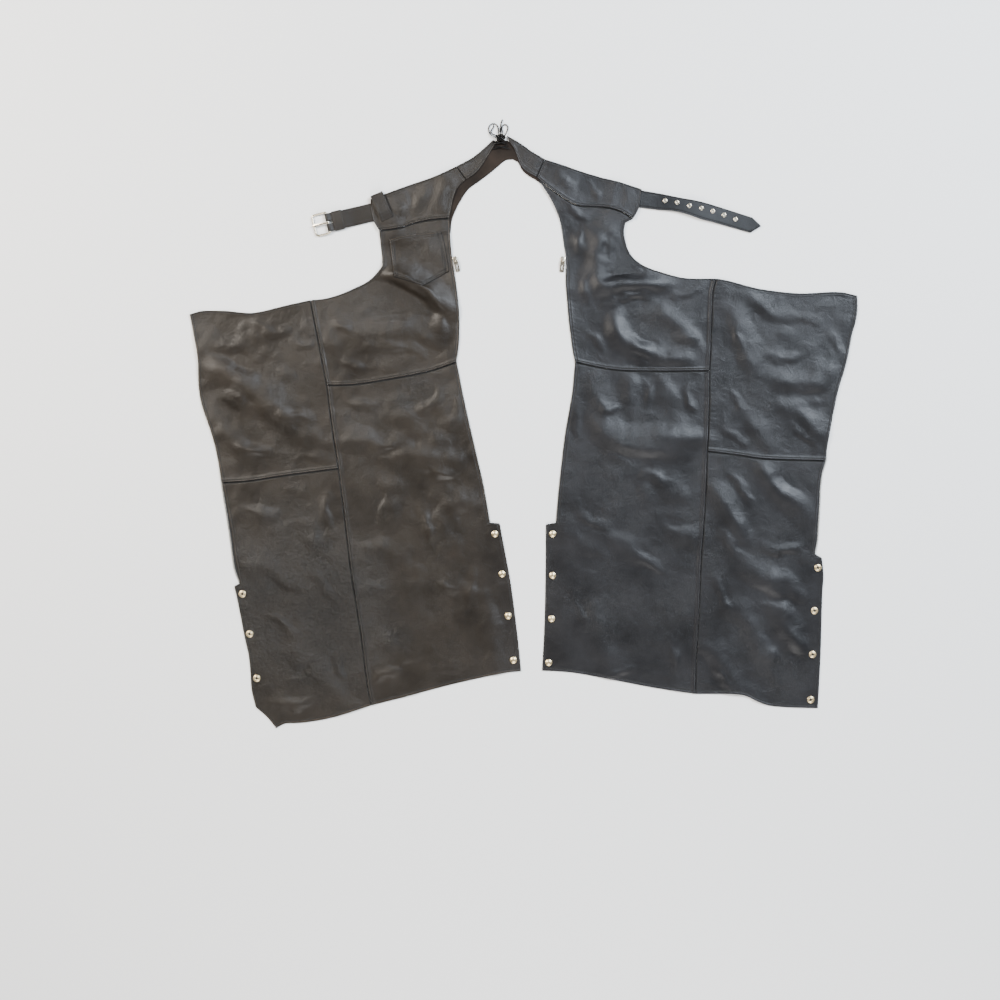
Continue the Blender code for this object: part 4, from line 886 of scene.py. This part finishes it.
# --- the facing ---
# The layer that shows below the lacing is the hide turned flesh side up: brown-black, napped, dull and
# mottled. It lies flat on the floor under the yokes.
suede, suede_tree, suede_shader = finish(
    "suede", (0.02, 0.014, 0.010), 0.95, Specular_IOR_Level=0.15, Sheen_Weight=0.2, Sheen_Roughness=0.5
)


def shaded_by(tree, shader, value, *stops):
    """The base colour from a ramp between two stops, (value, colour) each."""
    ramp = node(tree, "ShaderNodeValToRGB", {"Fac": value})
    for element, (position, colour) in zip(ramp.color_ramp.elements, stops):
        element.position = position
        element.color = (*colour, 1)
    tree.links.new(ramp.outputs["Color"], shader.inputs["Base Color"])


brushed = noise(suede_tree, 24, 4)
shaded_by(suede_tree, suede_shader, brushed, (0.3, (0.007, 0.0046, 0.0032)), (0.75, (0.022, 0.015, 0.011)))
raise_surface(suede_tree, suede_shader, noise(suede_tree, 420, 5, Roughness=0.7), 0.6, 0.8)

OFF_FLOOR = 0.02
FACING_CORNERS = [(-161, 418), (48, 532), (40, 518), (-151, 416)]
grid = patch(four_sides(outline("back_facing"), FACING_CORNERS))
lift, _, nearest = sewn(grid, [CUT, CUT, BOUND, CUT])
height = HIDE + OFF_FLOOR + np.maximum(lift, 0)
facing = shell("back_facing_suede", grid, height, nearest, HIDE, suede)
dress(facing, "flesh_side", "root", "back_facing")

# --- the pocket ---
# A patch pocket with a pointed foot on the left thigh. Its mouth stands a little open, and its other sides
# are sewn down with two rows of stitches. It lies on the thigh, a layer higher.
POCKET_CORNERS = [(-280, 401), (-171, 418), (-154, 335), (-270, 322)]
POCKET_SEAT = HIDE + 0.4
POCKET_SIDE = Side((4.2, 8.4), 0.1, 0.2, 0)
# The foot's dip is painted dark: the shadow along the pocket's lower edges.
POCKET_FOOT = Side((4.2, 8.4), 0.2, 0.2, 2.4)
POCKET_MOUTH = Side((4.4,), 0.5, 0.1, 0)
POCKET_STEP = 2.6
MOUTH_BULGE = 3.0
BULGE_REACH = 34.0
grid = patch(four_sides(outline("pocket"), POCKET_CORNERS), POCKET_STEP)
lift, shade, nearest = sewn(grid, [POCKET_MOUTH, POCKET_SIDE, POCKET_FOOT, POCKET_SIDE])
across = np.linspace(0, np.pi, grid.shape[1])[None]
bulge = MOUTH_BULGE * np.exp(-((run_lengths(grid, 0) / BULGE_REACH) ** 2)) * np.sin(across)
height = hide_height(grid[..., 0], grid[..., 1]) + POCKET_SEAT + bulge + lift
pocket = shell("pocket_hide", grid, height, nearest, HIDE, hide_skin, shade)
dress(pocket, "black_hide", "root", "pocket")
points = np.dstack([grid, height])
sewn_down = [(side, row) for side in ("left", "right", "bottom") for row in POCKET_SIDE.rows]
sewn_down.append(("top", POCKET_MOUTH.rows[0]))
stitches("pocket_stitches", [line_beside(points, side, row) for side, row in sewn_down])

# --- the zips ---
# A woven tape is sewn under each zip edge, and its outer edge carries cast teeth, one every 2.5 mm. Past the
# leather only the teeth show, and a strip of tape towards the hem on the back halves.
TAPE = 0.9
ZIP_STEPS = 160
TOOTH_PITCH = 2.5
TOOTH = (0.78, 1.9, 0.7)
SQUARED_OFF = 0.6
TOOTH_HEIGHT = 0.76
TOOTH_INSET = 1.0
TARNISH = 0.72


def threads(tree, scale, way):
    """The ridges of parallel threads, crossed by the way named."""
    inputs = {"Vector": over_object(tree), "Scale": scale, "Distortion": 0.4}
    return node(tree, "ShaderNodeTexWave", inputs, bands_direction=way).outputs["Fac"]


tape, tape_tree, tape_shader = finish("zip_tape", (0.016, 0.016, 0.017), 0.85)
weave = arithmetic(tape_tree, "MULTIPLY", threads(tape_tree, 320, "Y"), threads(tape_tree, 420, "X"))
raise_surface(tape_tree, tape_shader, weave, 0.7, 0.4)


def metal(name, colour, rough_low, rough_high, scale):
    """Plated metal with a worn, uneven polish and a few fine dents."""
    made, tree, shader = finish(name, colour, rough_low, Metallic=1.0)
    worn = noise(tree, scale, 5)
    tree.links.new(ranged(tree, worn, 0.3, 0.7, rough_low, rough_high), shader.inputs["Roughness"])
    shaded_by(tree, shader, worn, (0.3, np.array(colour) * TARNISH), (0.6, colour))
    raise_surface(tree, shader, worn, 0.25, 0.1)
    return made


nickel = metal("nickel", (0.60, 0.54, 0.43), 0.20, 0.34, 260)
zip_nickel = metal("zip_nickel", (0.42, 0.41, 0.38), 0.30, 0.45, 400)
brass = metal("pale_brass", (0.74, 0.60, 0.36), 0.32, 0.46, 300)

# A tooth: a sphere with each coordinate raised to a power below 1, which squares it off, times its half
# length, width and height.
tilt, turn = np.radians(np.meshgrid([60, 20, -20, -60], np.arange(0, 360, 45), indexing="ij"))
ball = np.stack([np.cos(tilt) * np.sin(turn), np.cos(tilt) * np.cos(turn), np.sin(tilt)], -1)
tooth = np.sign(ball) * np.abs(ball) ** SQUARED_OFF * TOOTH

Zip = namedtuple("Zip", "name outwards")
ZIPS = [
    Zip("zip_left_front", 1), Zip("zip_left_back", -1), Zip("zip_right_front", -1), Zip("zip_right_back", 1),
]


def long_sides(loop):
    """The two long sides of a strip's outline, between the two pairs of corners where it turns most."""
    heading = np.arctan2(*(np.roll(loop, -1, 0) - loop).T[::-1])
    turn = np.abs((heading - np.roll(heading, 1) + np.pi) % (2 * np.pi) - np.pi)
    corners = np.sort(np.argsort(turn)[-4:])
    loop = np.roll(loop, -corners[0], axis=0)
    a, b, c = (corners - corners[0])[1:]
    runs = [loop[: a + 1], loop[a : b + 1], loop[b : c + 1], np.vstack([loop[c:], loop[:1]])]
    runs.sort(key=lambda run: -lengths(run)[-1])
    return runs[:2]


for half in ZIPS:
    sides = long_sides(outline(half.name))
    sides.sort(key=lambda side: side[:, 0].mean() * half.outwards)
    runs = [flowing(side[np.argsort(-side[:, 1])]) for side in sides]
    inner, outer = (read_along(run, np.linspace(0, lengths(run)[-1], ZIP_STEPS)) for run in runs)
    across = np.array([0, 0.03, 0.3, 0.7, 0.97, 1])[None, :, None]
    grid = inner[:, None] * (1 - across) + outer[:, None] * across
    if half.outwards < 0:
        grid = grid[:, ::-1]
    width = run_lengths(grid, 1)
    nearest = np.minimum(width, width[:, -1:] - width)
    height = np.full(nearest.shape, TAPE + OFF_FLOOR)
    strip = shell(f"{half.name}_tape", grid, height, nearest, TAPE, tape)
    dress(strip, "zip_tape", "root", half.name)
    ahead = np.gradient(outer, axis=0)
    ahead /= np.linalg.norm(ahead, axis=1)[:, None]
    line = outer - ahead[:, ::-1] * (-1, 1) * half.outwards * TOOTH_INSET
    line = np.column_stack([line, np.full(ZIP_STEPS, TOOTH_HEIGHT)])
    teeth = along_lines([line], TOOTH_PITCH, TOOTH_PITCH, TOOTH_PITCH / 2, tooth)
    dress(mesh_piece(f"{half.name}_teeth", *teeth, zip_nickel), "nickel", "root")

# --- fittings cast in one piece ---
# The sliders, the pulls and the prong keep the model's shape, with their sharp edges broken by a fine bevel.
EASED = 0.35
WELD = 0.01


def break_edges(piece, angle):
    """A fine bevel along the edges that turn by more than an angle in degrees."""
    bevel = piece.modifiers.new("eased", "BEVEL")
    bevel.width = EASED * MM
    bevel.segments = 2
    bevel.limit_method = "ANGLE"
    bevel.angle_limit = np.radians(angle)


def eased(name, skin, slot, body):
    """A copy of a CAD node's mesh, its points merged and its edges broken, in the node's stead."""
    mesh = bpy.data.objects[name].data.copy()
    mesh.name = f"{name}_eased"
    mesh.materials.clear()
    mesh.materials.append(skin)
    piece = bpy.data.objects.new(f"{name}_eased", mesh)
    bpy.context.scene.collection.objects.link(piece)
    weld = piece.modifiers.new("weld", "WELD")
    weld.merge_threshold = WELD * MM
    break_edges(piece, 40)
    mesh.shade_smooth()
    dress(piece, slot, body, name)


for name in ("slider_left", "slider_right", "pull_left", "pull_right", "prong"):
    eased(name, nickel, "nickel", "root" if "slider" in name else name)

# --- the belt, buckle side ---
# A doubled strap folded round the buckle's bar, with a slot for the prong, and a keeper band round it. The
# bar and the frame are one bent wire. s runs along the strap from the bar, z up from the floor.
BAR = np.array((-408.0, 437.0)) - MIDDLE
BAR_HEIGHT = 4.4
BUCKLE_TURN = np.radians(193.4)
STRAP_WIDE = 38.0
STRAP_SEWN = 78.0
FROM_FOLD = 14
PRONG_SLOT = (-9.5, 6.0)
SLOT_ACROSS = (-3.0, 3.0)
KEEPER = (-32.0, -11.0)
KEEPER_HALF = 20.0
KEEPER_HEIGHTS = (0.9, 6.0)
KEEPER_CORNER = 1.3
KEEPER_THICK = 1.2
WIRE = 2.0
TIGHT, WIDE = 2.3, 6.0
BUCKLE_LONG = 30.0
BUCKLE_HALF = 22.0
# The strap's warm and cool colours hold the same painted tint of the lamp and the window.
strap_warm_painted_light, strap_cool_painted_light = (0.0110, 0.0088, 0.0068), (0.0078, 0.0082, 0.0094)
strap_skin = leather("strap_hide", strap_warm_painted_light, strap_cool_painted_light, 700, 0.35, 1.0, 0.4, 0.27)


def band(name, path, origin, angle, across, thick, skin, hole=None, closed=False):
    """A flat band: a path of (s, z) points carried across, then given its thickness, its edges eased.

    s runs from the origin along the angle on the floor. hole is ((s, s), (across, across)), left open.
    """
    ahead = np.array((np.cos(angle), np.sin(angle), 0))
    aside = np.array((np.sin(angle), -np.cos(angle), 0))
    run = path[:, None, :1] * ahead + path[:, None, 1:] * (0, 0, 1.0)
    points = np.array((*origin, 0)) + run + across[None, :, None] * aside
    rows, columns = points.shape[:2]
    number = np.arange(rows * columns).reshape(rows, columns)
    if closed:
        number = np.vstack([number, number[:1]])
    quads = np.stack([number[:-1, :-1], number[:-1, 1:], number[1:, 1:], number[1:, :-1]], -1)
    if hole:
        middle = 0.5 * (path[:-1, 0] + path[1:, 0])[:, None]
        between = 0.5 * (across[:-1] + across[1:])[None]
        (s0, s1), (w0, w1) = hole
        quads = quads[~((middle > s0) & (middle < s1) & (between > w0) & (between < w1))]
    piece = mesh_piece(name, points.reshape(-1, 3), quads.reshape(-1, 4).tolist(), skin, 60)
    wall = piece.modifiers.new("thickness", "SOLIDIFY")
    wall.thickness = thick * MM
    wall.offset = 0
    break_edges(piece, 50)
    return piece, points


def row_beside(points, inset):
    """Two lines of stitches on a band's upper face, an inset from either edge as a share of its width."""
    upper = points + (0, 0, HIDE / 2)
    return [upper[:, edge] * (1 - inset) + upper[:, -1 - edge] * inset for edge in (0, -1)]


strap_path = smooth([
    (-106, 0.78), (-62, 0.78), (-50, 1.25), (-41, 2.15), (-34, 2.65), (-14, 2.65), (-7, 2.1), (-3, 1.5),
    (0, 1.3), (2.2, 2.2), (3.1, 4.4), (2.2, 6.6), (0, 7.45), (-3, 6.6), (-7.5, 4.6), (-14, 4.2),
    (-34, 4.22), (-41, 3.72), (-50, 2.85), (-62, 2.4), (-106, 2.4),
])
strap_path = read_along(strap_path, np.linspace(0, lengths(strap_path)[-1], 190))
strap_across = np.unique([*np.linspace(-STRAP_WIDE / 2, STRAP_WIDE / 2, 15), *SLOT_ACROSS])
slot = (PRONG_SLOT, SLOT_ACROSS)
strap, points = band("buckle_strap_hide", strap_path, BAR, BUCKLE_TURN, strap_across, HIDE, strap_skin, slot)
dress(strap, "black_hide", "root", "buckle_strap")
strap_rows = row_beside(points[len(points) // 2 + FROM_FOLD :], 0.16)
stitches("buckle_strap_stitches", [line[lengths(line) < STRAP_SEWN] for line in strap_rows])

# The keeper's section is a flat loop with rounded corners, a quarter circle in each.
quarter = np.radians(np.linspace(0, 90, 5))
corner = KEEPER_CORNER * np.stack([np.cos(quarter), np.sin(quarter)], 1)
upper_right = corner + (KEEPER_HALF - KEEPER_CORNER, KEEPER_HEIGHTS[1] - KEEPER_CORNER)
upper_left = upper_right[::-1] * (-1, 1)
lower = np.array((0, sum(KEEPER_HEIGHTS)))
keeper_path = np.vstack([upper_right, upper_left, lower - upper_right, lower - upper_left])
keeper_across = np.linspace(KEEPER[0] - KEEPER[1], 0, 9)
ahead = np.array((np.cos(BUCKLE_TURN), np.sin(BUCKLE_TURN)))
place = (BAR + KEEPER[1] * ahead, BUCKLE_TURN + np.pi / 2)
keeper = band("keeper_hide", keeper_path, *place, keeper_across, KEEPER_THICK, strap_skin, closed=True)[0]
dress(keeper, "black_hide", "root", "keeper")

# The frame's line: a quarter circle at each corner, tight by the bar and wide at the far end, which is tipped
# down to lie just off the floor.
Bend = namedtuple("Bend", "x y radius start")
FRAME_BENDS = [
    Bend(TIGHT, BUCKLE_HALF - TIGHT, TIGHT, 180), Bend(BUCKLE_LONG - WIDE, BUCKLE_HALF - WIDE, WIDE, 90),
    Bend(BUCKLE_LONG - WIDE, WIDE - BUCKLE_HALF, WIDE, 0), Bend(TIGHT, TIGHT - BUCKLE_HALF, TIGHT, -90),
]
wire = []
for bend in FRAME_BENDS:
    turn = np.radians(np.linspace(bend.start, bend.start - 90, 9))
    wire.append(np.stack([bend.x + bend.radius * np.cos(turn), bend.y + bend.radius * np.sin(turn)], 1))
wire = np.vstack([*wire, wire[0][:1]])
wire = read_along(wire, np.linspace(0, lengths(wire)[-1], 121))[:-1]
drop = np.arcsin((BAR_HEIGHT - WIRE - CLEAR) / BUCKLE_LONG)
outwards = np.array((*ahead * np.cos(drop), -np.sin(drop)))
aside = np.array((-ahead[1], ahead[0], 0))
frame_path = np.array((*BAR, BAR_HEIGHT)) + wire[:, :1] * outwards + wire[:, 1:] * aside
buckle = mesh_piece("buckle_frame_wire", *tube(frame_path, WIRE, sides=16, closed=True), nickel)
dress(buckle, "nickel", "buckle_frame", "buckle_frame")

# --- the belt loop ---
# A raised band of the same leather over the left yoke's end, stitched down below the waist edge, for the
# tip of the punched strap. q runs down it from the waist.
LOOP_TOP = np.array((-307.0, 498.0)) - MIDDLE
LOOP_TURN = np.radians(-66.5)
LOOP_WIDE = 27.0
LOOP_RISES = 14
loop_path = smooth([
    (1.25, 0.5), (1.25, 4.0), (1.5, 7.4), (3.2, 9.8), (6.4, 10.8), (13.5, 10.98), (28, 10.98), (42.5, 10.95),
    (52.5, 9.15), (59.2, 6.0),
], 12)
loop_path = read_along(loop_path, np.linspace(0, lengths(loop_path)[-1], 48))
loop_across = np.linspace(-LOOP_WIDE / 2, LOOP_WIDE / 2, 11)
belt_loop, points = band("belt_loop_hide", loop_path, LOOP_TOP, LOOP_TURN, loop_across, HIDE, strap_skin)
dress(belt_loop, "black_hide", "root", "belt_loop")
stitches("belt_loop_stitches", row_beside(points[LOOP_RISES:], 0.2))

# --- the punched strap ---
# Two layers sewn together round the border, with a clipped tip, seven holes and an eyelet in each. It is
# sewn in under the right yoke and bows up a little off the floor.
STRAP = 3.1
STRAP_CORNERS = [(230, 508), (482, 448), (478, 416), (227, 472)]
STRAP_EDGE = Side((3.2,), 0.0, 0.05, 0)
HOLE = 2.9
EYELETS = [f"eyelet_{number}" for number in range(1, 8)]
EYELET_DEPTH = 3.0
STRAP_STEP = 2.4
strap_top = height_map(["punched_strap"])
grid = patch(four_sides(outline("punched_strap"), STRAP_CORNERS), STRAP_STEP)
lift, shade, nearest = sewn(grid, [STRAP_EDGE, STRAP_EDGE, STRAP_EDGE, CUT])
height = strap_top(grid[..., 0], grid[..., 1]) + lift
thick = np.minimum(STRAP, height - ABOVE_FLOOR)
punched = shell("punched_strap_hide", grid, height, nearest, thick, strap_skin, shade)
dress(punched, "black_hide", "root", "punched_strap")
points = np.dstack([grid, height])
strap_rows = [line_beside(points, side, STRAP_EDGE.rows[0]) for side in ("top", "right", "bottom")]
stitches("punched_strap_stitches", strap_rows)


def turned(name, profile, place, skin, sides=28, closed=False):
    """A profile of (radius, height) rows, down its outer side, turned about the upright through a place."""
    radius, rise = np.repeat(np.array(profile, float).T[..., None], sides, -1)
    angle = np.linspace(0, 2 * np.pi, sides, endpoint=False)
    points = np.stack([radius * np.cos(angle), radius * np.sin(angle), rise], -1).reshape(-1, 3) + place
    return mesh_piece(name, points, ring_faces(len(profile), sides, closed), skin, 50)


def foot_of(name):
    """The middle of a CAD node's box, at its lowest height, mm."""
    low, high = (np.array(corner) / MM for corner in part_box(name))
    return np.array((*0.5 * (low + high)[:2], low[2]))


EYELET_RING = [
    (1.8, -3.0), (1.8, 0.4), (2.05, 0.85), (2.7, 1.12), (3.5, 1.05), (4.3, 0.74), (4.85, 0.34), (5.0, 0.05),
    (4.6, 0), (2.4, 0), (2.4, -3.0),
]
for name in EYELETS:
    centre = foot_of(name)
    ring = turned(f"{name}_ring", EYELET_RING, centre + (0, 0, EYELET_DEPTH), nickel, closed=True)
    dress(ring, "nickel", "root", name)
    cutter = turned(f"{name}_punch", [(HOLE, 30), (HOLE, -30)], centre * (1, 1, 0), strap_skin)
    hole = punched.modifiers.new(name, "BOOLEAN")
    hole.object = cutter
graph = bpy.context.evaluated_depsgraph_get()
cut_mesh = bpy.data.meshes.new_from_object(punched.evaluated_get(graph))
punched.modifiers.clear()
punched.data = cut_mesh
for name in EYELETS:
    bpy.data.objects.remove(bpy.data.objects[f"{name}_punch"])

# --- the snaps ---
# Press studs of pale brass: domed caps with a rolled rim down the front flaps, and the ringed sockets that
# they close on down the back ones. Each sits where the model has it.
CAP = [
    (0.2, 3.9), (1.8, 3.84), (3.4, 3.5), (4.9, 2.86), (5.9, 2.2), (6.3, 1.86), (6.55, 1.8), (6.95, 1.7),
    (7.3, 1.3), (7.42, 0.8), (7.3, 0.25), (7.05, 0),
]
SOCKET_RING = [
    (2.5, 0.5), (2.75, 1.5), (3.2, 2.1), (3.9, 2.35), (4.6, 2.15), (5.05, 1.5), (5.5, 1.08), (6.4, 0.98),
    (7.2, 0.86), (7.55, 0.5), (7.5, 0.1), (7.2, 0), (2.5, 0),
]
SOCKET_WELL = [(0.1, 0.62), (1.2, 0.6), (2.45, 0.5), (2.45, 0.02)]
hollow = finish("socket_hollow", (0.012, 0.011, 0.010), 0.6)[0]
for name in SNAPS:
    is_cap = "cap" in name
    stud = turned(f"{name}_brass", CAP if is_cap else SOCKET_RING, foot_of(name), brass, closed=not is_cap)
    dress(stud, "pale_brass", "root", name)
    if not is_cap:
        dress(turned(f"{name}_well", SOCKET_WELL, foot_of(name), hollow), "pale_brass", "root")
